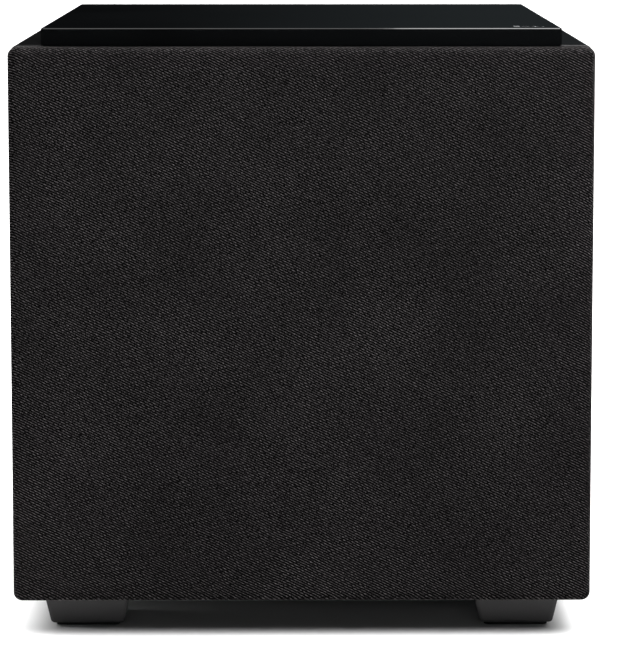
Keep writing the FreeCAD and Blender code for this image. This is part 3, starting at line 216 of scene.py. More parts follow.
def moulded(name, dark, light, rough, grain, depth, fleck=0.0, **sockets):
    """A finely textured surface: two sizes of tone variation, uneven gloss and a pebbled grain.

    The grain's size and depth are in mm, and the fleck is how strongly its pale specks show."""
    look = Look(name, **sockets)
    broad = look.blotches(60, 3.0)
    fine = look.blotches(grain * 1.6, 2.0)
    tone = look.calc("MULTIPLY_ADD", fine, 0.45, look.calc("MULTIPLY", broad, 0.55))
    colour = look.mix(look.fade(tone, 0.3, 0.7), dark, light)
    if fleck:
        spots = look.fade(look.cells(grain * 4), 0.0, 0.16, 1.0, 0.0)
        bright = tuple(min(1.0, c * 3 + 0.05) for c in light)
        colour = look.mix(look.calc("MULTIPLY", spots, fleck), colour, bright)
    look.paint(colour)
    look.dull(look.fade(broad, 0.3, 0.7), *rough)
    look.relief((look.cells(grain), depth), (look.blotches(grain * 7, 2.0), depth * 1.5))
    return look.material


def brushed(name, colour, rough, stretch, line=0.25, depth=0.008, mottle=None):
    """Metal with fine lines, long along the axes with a small stretch, and a slow change of tone."""
    look = Look(name, Metallic=1.0)
    lines = look.blotches(line, 3.0, stretch, 0.7)
    broad = look.blotches(25, 3.0)
    shade = tuple(c * 0.8 for c in colour)
    tone = look.mix(look.fade(lines, 0.3, 0.7), shade, colour)
    if mottle:
        tone = look.mix(look.fade(broad, 0.4, 0.7), tone, mottle)
    look.paint(tone)
    look.dull(look.calc("MULTIPLY_ADD", lines, 0.6, look.calc("MULTIPLY", broad, 0.4)), *rough)
    look.relief((lines, depth))
    return look.material


def spun(name, colour, axis, centre, rough, pitch=0.35, depth=0.01):
    """Metal turned on a lathe: rings round the axis, their pitch and depth in mm."""
    look = Look(name, Metallic=1.0)
    wobble = look.calc("MULTIPLY", look.blotches(9, 2.0), 1.2)
    rings = look.waves(look.from_axis(axis, centre), pitch, wobble)
    broad = look.blotches(30, 3.0)
    look.paint(look.mix(look.calc("MULTIPLY", rings, 0.5), colour, tuple(c * 0.72 for c in colour)))
    look.dull(look.calc("MULTIPLY_ADD", rings, 0.4, look.calc("MULTIPLY", broad, 0.6)), *rough)
    look.relief((rings, depth))
    return look.material


def gloss_top(name):
    """Black lacquered panel: nearly clear of marks, with a faint wave and fine dust in the gloss."""
    look = Look(name, Specular_IOR_Level=0.5, Coat_Weight=0.35, Coat_Roughness=0.03)
    broad = look.blotches(90, 2.0)
    dust = look.fade(look.cells(7), 0.0, 0.035, 1.0, 0.0)
    base = look.mix(look.fade(broad, 0.3, 0.7), (0.0012, 0.0013, 0.0014), (0.0022, 0.0024, 0.0026))
    look.paint(look.mix(look.calc("MULTIPLY", dust, 0.15), base, (0.08, 0.08, 0.085)))
    look.dull(look.fade(broad, 0.25, 0.75), 0.055, 0.1)
    look.relief((look.blotches(14, 1.0), 0.004))
    return look.material


def light_guides(name):
    """Frosted white diffusing plastic."""
    look = Look(name, Subsurface_Weight=0.2, Specular_IOR_Level=0.5)
    look.shader.inputs["Subsurface Radius"].default_value = (0.001, 0.001, 0.001)
    frost = look.blotches(0.5, 3.0)
    look.paint(look.mix(frost, (0.2, 0.205, 0.21), (0.29, 0.295, 0.3)))
    look.dull(frost, 0.25, 0.4)
    look.relief((frost, 0.01))
    return look.material


def circuit_board(name):
    """Green solder mask over copper tracks, with pads."""
    look = Look(name, Specular_IOR_Level=0.5)
    grid = look.node("ShaderNodeMapping", look.place, None, None, [1 / (3.125 * MM)] * 3)
    tracks = look.node("ShaderNodeTexBrick", grid.outputs[0])
    tracks.inputs["Mortar Size"].default_value = 0.09
    bend = look.calc("MULTIPLY", look.blotches(12, 1.0), 2.0)
    bent = look.waves(look.along((1, 0.4, 1)), 5.3, bend)
    lines = look.calc("MAXIMUM", tracks.outputs["Fac"], look.fade(bent, 0.86, 0.9))
    pads = look.fade(look.cells(3.1), 0.16, 0.2, 1.0, 0.0)
    green = look.mix(look.calc("MULTIPLY", lines, 0.8), (0.006, 0.06, 0.025), (0.02, 0.15, 0.06))
    look.paint(look.mix(look.calc("MULTIPLY", pads, 0.9), green, (0.62, 0.58, 0.5)))
    look.dull(pads, 0.28, 0.4)
    look.relief((lines, 0.035), (pads, 0.05))
    return look.material


def paper_cone(name):
    """Pressed black paper: matted fibres, fine turned rings and a light coating."""
    look = Look(name, Specular_IOR_Level=0.35, Sheen_Weight=0.05, Sheen_Roughness=0.5)
    radius = look.from_axis("y", (0, FACE_Y, DRIVER_Z))
    rings = look.waves(radius, 5.2)
    lying, upright = (look.blotches(1.6, 4.0, stretch, 0.7) for stretch in ((0.25, 1, 1), (1, 1, 0.25)))
    fibre = look.calc("MAXIMUM", lying, upright)
    broad = look.blotches(30, 3.0)
    tone = look.calc("MULTIPLY_ADD", fibre, 0.7, look.calc("MULTIPLY", broad, 0.3))
    look.paint(look.mix(look.fade(tone, 0.35, 0.75), (0.012, 0.012, 0.013), (0.052, 0.052, 0.055)))
    look.dull(fibre, 0.42, 0.62)
    look.relief((rings, 0.25), (fibre, 0.06))
    return look.material


def rubber_roll(name, axis, centre):
    """Moulded butyl rubber: satin, with mould rings and a trace of bloom."""
    look = Look(name, Specular_IOR_Level=0.4, Sheen_Weight=0.08, Sheen_Roughness=0.4)
    wobble = look.calc("MULTIPLY", look.blotches(30, 1.0), 0.6)
    rings = look.waves(look.from_axis(axis, centre), 0.9, wobble)
    bloom = look.blotches(22, 4.0)
    look.paint(look.mix(look.fade(bloom, 0.35, 0.75), (0.010, 0.010, 0.0105), (0.026, 0.026, 0.027)))
    look.dull(bloom, 0.38, 0.6)
    look.relief((rings, 0.03), (look.cells(0.5), 0.008))
    return look.material


def doped_cloth(name):
    """Amber varnished weave of the spider."""
    look = Look(name, Specular_IOR_Level=0.4, Sheen_Weight=0.1)
    warp = look.waves(look.along((1, 0, 0)), 0.9)
    weft = look.waves(look.along((0, 0, 1)), 0.9)
    weave = look.calc("MULTIPLY", warp, weft)
    stain = look.blotches(18, 3.0)
    thread = look.mix(weave, (0.26, 0.13, 0.035), (0.66, 0.42, 0.15))
    look.paint(look.mix(look.calc("MULTIPLY", stain, 0.5), thread, (0.34, 0.17, 0.05)))
    look.dull(weave, 0.4, 0.7)
    look.relief((weave, 0.12))
    return look.material


def wound_copper(name):
    """Layers of enamelled wire, one turn beside the next."""
    look = Look(name, Metallic=1.0, Coat_Weight=0.6, Coat_Roughness=0.12)
    turns = look.waves(look.along((0, 1, 0)), 0.45)
    look.paint(look.mix(turns, (0.3, 0.09, 0.04), (0.85, 0.42, 0.24)))
    look.dull(turns, 0.22, 0.4)
    look.relief((turns, 0.1))
    return look.material


def board_parts(name):
    """Transformer tape, a choke and the sleeves of three capacitors, told apart by where they stand."""
    look = Look(name, Specular_IOR_Level=0.5)
    x, z = look.along((1, 0, 0)), look.along((0, 0, 1))
    low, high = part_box("amp_power_parts")
    transformer_end = low.x + (high.x - low.x) * 0.36
    sleeves_from = low.z + 34 * MM
    left = look.fade(x, transformer_end, transformer_end + 1 * MM, 1.0, 0.0)
    tall = look.fade(z, sleeves_from, sleeves_from + 1 * MM)
    wraps = look.waves(z, 6.5, look.calc("MULTIPLY", look.blotches(20, 1.0), 0.3))
    tape = look.mix(wraps, (0.5, 0.34, 0.06), (0.72, 0.52, 0.12))
    stripe = look.fade(look.waves(x, 28.0), 0.93, 0.95)
    sleeve = look.mix(stripe, (0.012, 0.013, 0.02), (0.5, 0.5, 0.52))
    copper = look.mix(look.waves(look.along((0, 1, 0)), 1.2), (0.28, 0.08, 0.03), (0.62, 0.26, 0.12))
    look.paint(look.mix(left, look.mix(tall, copper, sleeve), tape))
    look.dull(look.blotches(3, 2.0), 0.3, 0.5)
    look.relief((wraps, 0.05), (look.blotches(1.2, 2.0), 0.02))
    return look.material


def two_leads(name):
    """A red and a black sleeve, lightly ribbed."""
    look = Look(name, Specular_IOR_Level=0.45)
    own = look.node("ShaderNodeNewGeometry").outputs["Random Per Island"]
    ribs = look.waves(look.along((0.2, 1, 0.3)), 1.8)
    red = look.mix(ribs, (0.26, 0.008, 0.008), (0.42, 0.02, 0.018))
    black = look.mix(ribs, (0.012, 0.012, 0.012), (0.03, 0.03, 0.03))
    look.paint(look.mix(look.calc("GREATER_THAN", own, 0.5), black, red))
    look.dull(look.blotches(4, 2.0), 0.35, 0.55)
    look.relief((ribs, 0.04))
    return look.material


def phono_jacks(name):
    """Gold-flashed shells round coloured insulators: red, white and black from the plate's edge inwards."""
    look = Look(name, Specular_IOR_Level=0.5)
    low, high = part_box("rca_jacks")
    insulator_radius = 3.25 * MM
    centre_x = [high.x - inset for inset in JACK_INSETS]
    inks = [(0.42, 0.012, 0.012), (0.62, 0.62, 0.6), (0.02, 0.02, 0.021)]
    x = look.along((1, 0, 0))
    ink = look.mix(look.calc("GREATER_THAN", x, (centre_x[0] + centre_x[1]) / 2), inks[1], inks[0])
    ink = look.mix(look.calc("GREATER_THAN", x, (centre_x[1] + centre_x[2]) / 2), inks[2], ink)
    inside = None
    for at in centre_x:
        distance = look.from_axis("y", (at, PLATE_Y, (low.z + high.z) / 2))
        here = look.calc("LESS_THAN", distance, insulator_radius)
        inside = here if inside is None else look.calc("MAXIMUM", inside, here)
    worn = look.blotches(2.5, 3.0)
    gold = look.mix(look.fade(worn, 0.35, 0.7), (0.66, 0.44, 0.16), (0.86, 0.62, 0.27))
    look.paint(look.mix(inside, gold, ink))
    look.feed(look.shader.inputs["Metallic"], look.calc("SUBTRACT", 1.0, inside))
    look.dull(worn, 0.18, 0.34)
    look.relief((worn, 0.01))
    return look.material


def ferrite(name):
    """Sintered ferrite: dull grey-black, granular, with a ground face."""
    look = Look(name, Specular_IOR_Level=0.6)
    grains = look.cells(0.7)
    smear = look.blotches(12, 4.0, (1, 1, 0.3))
    look.paint(look.mix(look.fade(smear, 0.3, 0.7), (0.028, 0.028, 0.03), (0.075, 0.075, 0.08)))
    look.dull(smear, 0.42, 0.65)
    look.relief((grains, 0.04), (look.blotches(9, 3.0), 0.05))
    return look.material


def fibreboard(name):
    """Bare medium-density board: compressed fibres in the face, darker specks."""
    look = Look(name, Specular_IOR_Level=0.3)
    fibre = look.blotches(1.2, 4.0, (0.35, 1, 1), 0.7)
    speck = look.fade(look.cells(5), 0.0, 0.09, 1.0, 0.0)
    base = look.mix(look.fade(fibre, 0.3, 0.7), (0.30, 0.20, 0.11), (0.50, 0.37, 0.23))
    look.paint(look.mix(look.calc("MULTIPLY", speck, 0.6), base, (0.13, 0.08, 0.045)))
    look.dull(fibre, 0.7, 0.85)
    look.relief((fibre, 0.06))
    return look.material


WOOFER_AXIS = ("y", (0, FACE_Y, DRIVER_Z))
RADIATOR_AXIS = ("x", (0, RADIATOR_Y, DRIVER_Z))

MATERIALS = {
    "cabinet_laminate": moulded(
        "satin_black_laminate", (0.002, 0.002, 0.0021), (0.0042, 0.0042, 0.0044),
        rough=(0.17, 0.24), grain=0.55, depth=0.004, Specular_IOR_Level=0.35,
    ),
    "raw_board": fibreboard("bare_fibreboard"),
    "gloss_top": gloss_top("gloss_black_lacquer"),
    "light_guide": light_guides("frosted_light_guide"),
    "circuit_board": circuit_board("green_circuit_board"),
    "foot_plastic": moulded(
        "satin_foot_moulding", (0.040, 0.0385, 0.039), (0.056, 0.054, 0.055),
        rough=(0.36, 0.5), grain=0.4, depth=0.01, Specular_IOR_Level=0.5,
    ),
    "pad_rubber": moulded(
        "foot_pad_rubber", (0.009, 0.009, 0.009), (0.02, 0.02, 0.02),
        rough=(0.7, 0.85), grain=0.8, depth=0.03, Specular_IOR_Level=0.3,
    ),
    "grille_board": moulded(
        "grille_frame_moulding", (0.011, 0.011, 0.011), (0.019, 0.019, 0.019),
        rough=(0.5, 0.65), grain=0.6, depth=0.02,
    ),
    "cast_frame": moulded(
        "black_powder_coat", (0.011, 0.011, 0.012), (0.021, 0.021, 0.022),
        rough=(0.42, 0.6), grain=0.9, depth=0.05, fleck=0.25,
    ),
    "trim_plastic": moulded(
        "fine_black_moulding", (0.012, 0.012, 0.012), (0.022, 0.022, 0.022),
        rough=(0.38, 0.52), grain=0.35, depth=0.01,
    ),
    "surround_rubber": rubber_roll("butyl_roll", *WOOFER_AXIS),
    "cone_paper": paper_cone("coated_paper_cone"),
    "spider_cloth": doped_cloth("amber_doped_cloth"),
    "former_foil": spun("foil_former", (0.78, 0.78, 0.79), *WOOFER_AXIS, rough=(0.2, 0.34)),
    "copper_wire": wound_copper("enamelled_copper_turns"),
    "motor_steel": brushed(
        "zinc_plated_steel", (0.55, 0.55, 0.56), rough=(0.24, 0.4), stretch=(0.2, 1, 1),
        mottle=(0.56, 0.52, 0.4),
    ),
    "ferrite": ferrite("ground_ferrite"),
    "lead_sleeve": two_leads("lead_sleeves"),
    "piston_metal": spun(
        "anodised_piston", (0.13, 0.13, 0.135), *RADIATOR_AXIS, rough=(0.3, 0.45),
        pitch=0.8, depth=0.015,
    ),
    "black_screws": brushed(
        "black_oxide_steel", (0.085, 0.085, 0.09), rough=(0.28, 0.45), stretch=(1, 1, 1),
        line=0.5, depth=0.01,
    ),
    "amp_metal": moulded(
        "fine_texture_paint", (0.0105, 0.0105, 0.011), (0.02, 0.02, 0.021),
        rough=(0.46, 0.62), grain=0.7, depth=0.045, fleck=0.2, Specular_IOR_Level=0.5,
    ),
    "sink_metal": brushed(
        "black_anodised_sink", (0.15, 0.15, 0.155), rough=(0.3, 0.44), stretch=(1, 1, 0.03),
        line=0.3, depth=0.012,
    ),
    "amp_components": board_parts("board_parts"),
    "knob_plastic": moulded(
        "satin_knob_moulding", (0.014, 0.014, 0.0145), (0.025, 0.025, 0.026),
        rough=(0.32, 0.44), grain=0.3, depth=0.008,
    ),
    "socket_metal": phono_jacks("phono_gold_and_insulators"),
    "pin_metal": brushed(
        "nickel_pins", (0.7, 0.68, 0.64), rough=(0.12, 0.26), stretch=(1, 0.1, 1), line=0.2, depth=0.005
    ),
    "grille_cloth": woven("black_acoustic_twill", 0.0056),
}
PRINT = moulded(
    "white_dial_print", (0.52, 0.52, 0.52), (0.68, 0.68, 0.68), rough=(0.5, 0.62), grain=0.25, depth=0.004
)
RADIATOR_RUBBER = rubber_roll("butyl_roll_sides", *RADIATOR_AXIS)

for node, thing in NODES.items():
    thing.data.materials.clear()
    thing.data.materials.append(MATERIALS[SLOT_OF[node]])

# ---------------------------------------------------------------- mesh helpers

SHARP_DEG = 32
CORNER_SIGNS = ((1, 1), (-1, 1), (-1, -1), (1, -1))


def link(thing):
    bpy.context.scene.collection.objects.link(thing)
    return thing


def finish_mesh(name, bm, material, weld=True):
    """Makes an object of the mesh, smooth but for its sharp edges."""
    if weld:
        bmesh.ops.remove_doubles(bm, verts=bm.verts, dist=1e-7)
    bmesh.ops.recalc_face_normals(bm, faces=bm.faces)
    for face in bm.faces:
        face.smooth = True
    for edge in bm.edges:
        if edge.is_manifold and edge.calc_face_angle() > math.radians(SHARP_DEG):
            edge.smooth = False
    mesh = bpy.data.meshes.new(name)
    bm.to_mesh(mesh)
    bm.free()
    mesh.materials.append(material)
    thing = link(bpy.data.objects.new(name, mesh))
    return thing


def bridge(bm, rings, close=False):
    """Quads between rings of equally many vertices, and round to the first ring again if close."""
    following = rings[1:] + rings[:1] if close else rings[1:]
    for first, second in zip(rings, following):
        for index, vertex in enumerate(first):
            after = (index + 1) % len(first)
            bm.faces.new((vertex, first[after], second[after], second[index]))


def on_circle(radius, angle):
    return Vector((radius * math.cos(angle), radius * math.sin(angle)))


def rounded_outline(half_u, half_v, radius, corner_steps=8, side_steps=22):
    """Points round a rectangle with round corners. Equal steps give rings that match one another."""
    centres = [Vector((u * (half_u - radius), v * (half_v - radius))) for u, v in CORNER_SIGNS]
    points = []
    for number, centre in enumerate(centres):
        for step in range(corner_steps + 1):
            points.append(centre + on_circle(radius, math.radians(90) * (number + step / corner_steps)))
        corner_end = points[-1]
        side_end = centres[(number + 1) % 4] + on_circle(radius, math.radians(90) * (number + 1))
        points += [corner_end.lerp(side_end, step / side_steps) for step in range(1, side_steps)]
    return points


def ring_mesh(name, profile, to_frame, material, segments=160):
    """A closed profile of (radius, depth) turned round its axis."""
    bm = bmesh.new()
    angles = [math.tau * number / segments for number in range(segments)]
    rings = [[bm.verts.new(to_frame(radius, depth, a)) for a in angles] for radius, depth in profile]
    bridge(bm, rings, close=True)
    return finish_mesh(name, bm, material)


def radial_blend(thing, outer, inner, distance):
    """Bakes the ring's transform and works out each vertex's share between the outer radius, at the cabinet,
    and the inner one, at a moving body; nothing uses the share, so the ring doesn't bend.
    """
    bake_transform(thing)
    for vertex in thing.data.vertices:
        share = min(1.0, max(0.0, (outer - distance(vertex.co)) / (outer - inner)))


# ---------------------------------------------------------------- grille cloths

CLOTH_THICK = 0.4 * MM
# the face sways in by the slack, which is full that far inside the round edge, in waves per metre
CLOTH_SLACK = 0.1 * MM
SLACK_RISE = 12 * MM
BROAD_SWAY = 14
FINE_SWAY = 45
# the strip glued behind the frame, how far behind the frame it lies, and how tightly it turns there
FOLD = 11 * MM
FOLD_BEHIND = 0.42 * MM
FOLD_TURN = 0.9 * MM
FACE_RINGS = 26
LEAST_CORNER = 0.35 * MM


def cloth_rows(half, edge, deep, fold):
    """The cloth's section as (inset from the outline, depth behind the face), from hem to middle."""
    quarter = [math.radians(90) * step / 8 for step in range(9)]
    rows = []
    side_end, side_shares = deep, (0.0, 0.15, 0.4, 0.7)
    if fold:
        rows += [(fold + (FOLD_TURN - fold) * step / 4, deep) for step in range(5)]
        rows += [(FOLD_TURN * (1 - math.sin(a)), deep - FOLD_TURN * (1 - math.cos(a))) for a in quarter[1:]]
        side_end, side_shares = deep - FOLD_TURN, side_shares[1:]
    rows += [(0.0, side_end - (side_end - edge) * share) for share in side_shares]
    rows += [(edge * (1 - math.cos(a)), edge * (1 - math.sin(a))) for a in quarter]
    across = half - CLOTH_THICK - edge
    rows += [(edge + across * (number / FACE_RINGS) ** 1.25, 0.0) for number in range(1, FACE_RINGS + 1)]
    return rows


def stretched_cloth(name, half_u, half_v, corner, edge, deep, fold, to_frame):
    """A cloth pulled over a board: its face, round front edge, sides and the fold glued at the back.

    to_frame turns (u, v, depth) into a place in the frame. The cloth's inner surface lies its
    thickness inside the outer one."""
    rows = cloth_rows(min(half_u, half_v), edge, deep, fold)
    bm = bmesh.new()

    def skin(inward):
        rings = []
        for number, (inset, depth) in enumerate(rows):
            before, after = rows[max(number - 1, 0)], rows[min(number + 1, len(rows) - 1)]
            along = Vector((after[0] - before[0], after[1] - before[1])).normalized()
            inset_in = inset - along.y * inward
            depth_in = depth + along.x * inward
            loose = CLOTH_SLACK * min(1.0, max(0.0, (inset - edge) / SLACK_RISE))
            ring = []
            radius = max(corner - inset_in, LEAST_CORNER)
            for u, v in rounded_outline(half_u - inset_in, half_v - inset_in, radius):
                spot = Vector((u, v, depth))
                sway = noise.noise(spot * BROAD_SWAY) + 0.5 * noise.noise(spot * FINE_SWAY)
                ring.append(bm.verts.new(to_frame(u, v, depth_in + loose * (0.6 + 0.4 * sway))))
            rings.append(ring)
        return rings

    outer, inner = skin(0.0), skin(CLOTH_THICK)
    bridge(bm, outer)
    bridge(bm, inner)
    bm.faces.new(outer[-1])
    bm.faces.new(inner[-1])
    bridge(bm, [outer[0], inner[0]])
    return finish_mesh(name, bm, MATERIALS["grille_cloth"], weld=False)


def front_cloth():
    """The front grille's cloth, folded round the rim and glued behind it."""
    low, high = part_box("grille_cloth")
    centre, half = (low + high) / 2, (high - low) / 2
    deep = high.y - low.y + FOLD_BEHIND
    thing = stretched_cloth(
        "front_grille_cloth", half.x, half.z, corner=5.5 * MM, edge=5 * MM, deep=deep, fold=FOLD,
        to_frame=lambda u, v, depth: Vector((centre.x + u, low.y + depth, centre.z + v)),
    )
    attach(thing, "grille")
    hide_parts("grille_cloth")


def side_cloth(side, name):
    """A side grille's cloth, which ends on the edge of its plate."""
    node = "side_grille_cloth_" + name
    low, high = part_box(node)
    centre, half = (low + high) / 2, (high - low) / 2
    face_x = high.x if side > 0 else low.x
    deep = high.x - low.x - 0.1 * MM
    thing = stretched_cloth(
        "side_grille_cloth_skin_" + name, half.y, half.z, corner=19.8 * MM, edge=1.2 * MM, deep=deep, fold=0,
        to_frame=lambda u, v, depth: Vector((face_x - side * depth, centre.y + side * u, centre.z + v)),
    )
    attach(thing, "cabinet")
    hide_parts(node)


# ---------------------------------------------------------------- surrounds and spider

LIP_OUT = 111 * MM
WOOFER_ROLL_OUT = 106 * MM
RADIATOR_ROLL_OUT = 104 * MM
ROLL_IN = 84 * MM
LIP_IN = 79 * MM
ROLL_THICK = 1.2 * MM
ROLL_STEPS = 20
FORMER_RADIUS = 25.6 * MM
SPIDER_SEAT = 67 * MM
SPIDER_THICK = 0.8 * MM
SPIDER_WAVES = 4
SPIDER_STEPS = 96


def woofer_frame(from_y):
    """Gives places round the woofer's axis, with depths counted from that y."""
    return lambda radius, depth, angle: Vector(
        (radius * math.cos(angle), from_y + depth, DRIVER_Z + radius * math.sin(angle))
    )


def woofer_radius(co):
    return math.hypot(co.x, co.z - DRIVER_Z)


def roll_profile(roll_out, face, bulge):
    """Outer lip, half roll and inner lip, with the roll bulging towards lower depth if bulge is -1."""
    centre = (roll_out + ROLL_IN) / 2
    radius = (roll_out - ROLL_IN) / 2
    under = radius - ROLL_THICK
    near, far = (face, face + ROLL_THICK) if bulge < 0 else (face + ROLL_THICK, face)
    angles = [math.pi * step / ROLL_STEPS for step in range(ROLL_STEPS + 1)]
    outside = [(centre + radius * math.cos(a), near + bulge * radius * math.sin(a)) for a in angles]
    inside = [(centre + under * math.cos(a), far + bulge * under * math.sin(a)) for a in reversed(angles)]
    return [(LIP_OUT, near)] + outside + [(LIP_IN, near), (LIP_IN, far)] + inside + [(LIP_OUT, far)]


def woofer_roll():
    """The woofer's surround, whose roll bulges out of the box."""
    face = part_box("woofer_surround")[1].y - FACE_Y - ROLL_THICK
    thing = ring_mesh(
        "woofer_surround_roll", roll_profile(WOOFER_ROLL_OUT, face, -1), woofer_frame(FACE_Y),
        MATERIALS["surround_rubber"],
    )
    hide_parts("woofer_surround")
    radial_blend(thing, WOOFER_ROLL_OUT, ROLL_IN, woofer_radius)


def radiator_roll(side, name):
    """A side radiator's surround, whose roll bulges into the box to stay behind the side grille."""
    node = "radiator_surround_" + name
    low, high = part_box(node)
    outer_x = max(abs(low.x), abs(high.x))

    def to_frame(radius, depth, angle):
        y = RADIATOR_Y + side * radius * math.cos(angle)
        return Vector((side * (outer_x - depth), y, DRIVER_Z + radius * math.sin(angle)))

    thing = ring_mesh(
        "radiator_roll_" + name, roll_profile(RADIATOR_ROLL_OUT, 0.0, 1), to_frame,
        RADIATOR_RUBBER,
    )
    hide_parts(node)
    radial_blend(
        thing, RADIATOR_ROLL_OUT, ROLL_IN,
        lambda co: math.hypot(co.y - RADIATOR_Y, co.z - DRIVER_Z),
    )


def spider():
    """The corrugated disc as smooth waves, bending between the basket's seat and the former."""
    low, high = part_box("woofer_spider")
    crest = high.y - low.y - SPIDER_THICK
    front = []
    for step in range(SPIDER_STEPS + 1):
        share = step / SPIDER_STEPS
        depth = crest * (0.5 + 0.5 * math.cos(math.tau * SPIDER_WAVES * share))
        front.append((FORMER_RADIUS + (SPIDER_SEAT - FORMER_RADIUS) * share, depth))
    front.append((high.x, crest))
    profile = front + [(radius, depth + SPIDER_THICK) for radius, depth in reversed(front)]
    thing = ring_mesh(
        "woofer_spider_disc", profile, woofer_frame(low.y), MATERIALS["spider_cloth"], 120
    )
    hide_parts("woofer_spider")
    radial_blend(thing, SPIDER_SEAT, FORMER_RADIUS, woofer_radius)


# ---------------------------------------------------------------- printed marks on the amplifier

INK = 0.06 * MM
LINE_WIDE = 0.4 * MM
SHORT_LINE = 1.8 * MM
TICK = 1.5 * MM
LONG_TICK = 2.4 * MM
KNOBS = {"level_knob": "level_control", "crossover_knob": "crossover_control"}
SCALES = {"level_knob": ("0", "5", "10"), "crossover_knob": ("40", "80", "150")}
KNOB_TURN_DEG = 150
TICK_RADIUS = 10.6 * MM
NUMBER_RADIUS = 16.2 * MM
NUMBER_HIGH = 3.4 * MM
LEVER_THROW = 4 * MM


def slab(bm, corners, bottom, top):
    """A thin plate on four (x, z) corners between two y levels."""
    lower = [bm.verts.new((x, bottom, z)) for x, z in corners]
    upper = [bm.verts.new((x, top, z)) for x, z in corners]
    bm.faces.new(lower)
    bm.faces.new(upper[::-1])
    for index in range(len(corners)):
        after = (index + 1) % len(corners)
        bm.faces.new((lower[index], upper[index], upper[after], lower[after]))


def bar(centre, direction, long, wide):
    """Corners of a bar centred on a point of the plate."""
    along = Vector(direction).normalized() * long / 2
    across = Vector((-along.y, along.x)).normalized() * wide / 2
    spot = Vector(centre)
    return [tuple(spot + a) for a in (-along - across, along - across, along + across, -along + across)]


def printed_line(bm, centre, direction, long):
    slab(bm, bar(centre, direction, long, LINE_WIDE), PLATE_Y, PLATE_Y + INK)


def dial_marks():
    """Eleven ticks round each knob, two beside each switch, and a line that pairs the line inputs."""
    bm = bmesh.new()
    for node in KNOBS:
        centre = middle(node)
        for number in range(11):
            angle = math.radians(KNOB_TURN_DEG * (1 - number / 5))
            away = Vector((-math.sin(angle), math.cos(angle)))
            long = LONG_TICK if number % 5 == 0 else TICK
            spot = Vector((centre.x, centre.z)) + away * (TICK_RADIUS + long / 2)
            printed_line(bm, spot, away, long)
    for node in ("phase_switch_lever", "mode_switch_lever"):
        rest_x = middle(node).x
        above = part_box(node)[1].z + 3.2 * MM
        for x in (rest_x, rest_x + LEVER_THROW):
            printed_line(bm, (x, above), (0, 1), SHORT_LINE)
    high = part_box("rca_jacks")[1]
    right, left, single = (high.x - inset for inset in JACK_INSETS)
    top = high.z + 3.5 * MM
    printed_line(bm, ((left + right) / 2, top), (1, 0), right - left)
    for x in (left, right, single):
        printed_line(bm, (x, top - SHORT_LINE / 2), (0, 1), SHORT_LINE)
    thing = finish_mesh("amp_dial_marks", bm, PRINT)
    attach(thing, "cabinet")


def raised_number(name, word, spot):
    """A number as flat raised print on the plate, to be read from behind the box."""
    curve = bpy.data.curves.new("number", "FONT")
    curve.body = word
    curve.size = NUMBER_HIGH
    curve.extrude = INK / 2
    curve.align_x = "CENTER"
    curve.align_y = "CENTER"
    draft = link(bpy.data.objects.new("number", curve))
    bpy.context.view_layer.update()
    shaped = draft.evaluated_get(bpy.context.evaluated_depsgraph_get())
    mesh = bpy.data.meshes.new_from_object(shaped)
    bpy.data.objects.remove(draft)
    facing = Euler((math.radians(90), 0, math.radians(180))).to_matrix().to_4x4()
    mesh.transform(Matrix.Translation(spot + Vector((0, INK / 2, 0))) @ facing)
    mesh.materials.clear()
    mesh.materials.append(PRINT)
    mesh.name = name
    thing = link(bpy.data.objects.new(name, mesh))
    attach(thing, "cabinet")


def dial_numbers():
    """The two dials' scales: level from 0 to 10, and crossover in hertz."""
    for node, words in SCALES.items():
        centre = middle(node)
        for word, degrees in zip(words, (-KNOB_TURN_DEG, 0, KNOB_TURN_DEG)):
            angle = math.radians(degrees)
            x = centre.x - math.sin(angle) * NUMBER_RADIUS
            z = centre.z + math.cos(angle) * NUMBER_RADIUS
            name = "%s_%s_mark" % (node.split("_")[0], word)
            raised_number(name, word, Vector((x, PLATE_Y, z)))


def knob_pointers():
    """A white inlay in each knob's pointer groove."""
    groove_middle, groove_long, groove_wide = 4.35 * MM, 4.3 * MM, 1.1 * MM
    floor_depth, inlay_depth = 0.58 * MM, 0.1 * MM
    for node, body in KNOBS.items():
        centre, face_y = middle(node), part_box(node)[1].y
        bm = bmesh.new()
        inlay = bar((centre.x, centre.z + groove_middle), (0, 1), groove_long, groove_wide)
        slab(bm, inlay, face_y - floor_depth, face_y - inlay_depth)
        thing = finish_mesh(node + "_pointer", bm, PRINT)
        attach(thing, body)


def line_sign():
    """The line, as a list with its one loop of (u, v) corners."""
    half_wide, half_high = 0.25 * MM, 1.4 * MM
    return [[(u * half_wide, v * half_high) for u, v in ((-1, -1), (1, -1), (1, 1), (-1, 1))]]


def circle_sign(pieces=28):
    """The circle as short four-cornered pieces of a ring."""
    inner, outer = 1.1 * MM, 1.6 * MM
    loops = []
    for number in range(pieces):
        first, second = (math.tau * (number + k) / pieces for k in (0, 1))
        corners = ((inner, first), (outer, first), (outer, second), (inner, second))
        loops.append([tuple(on_circle(radius, angle)) for radius, angle in corners])
    return loops


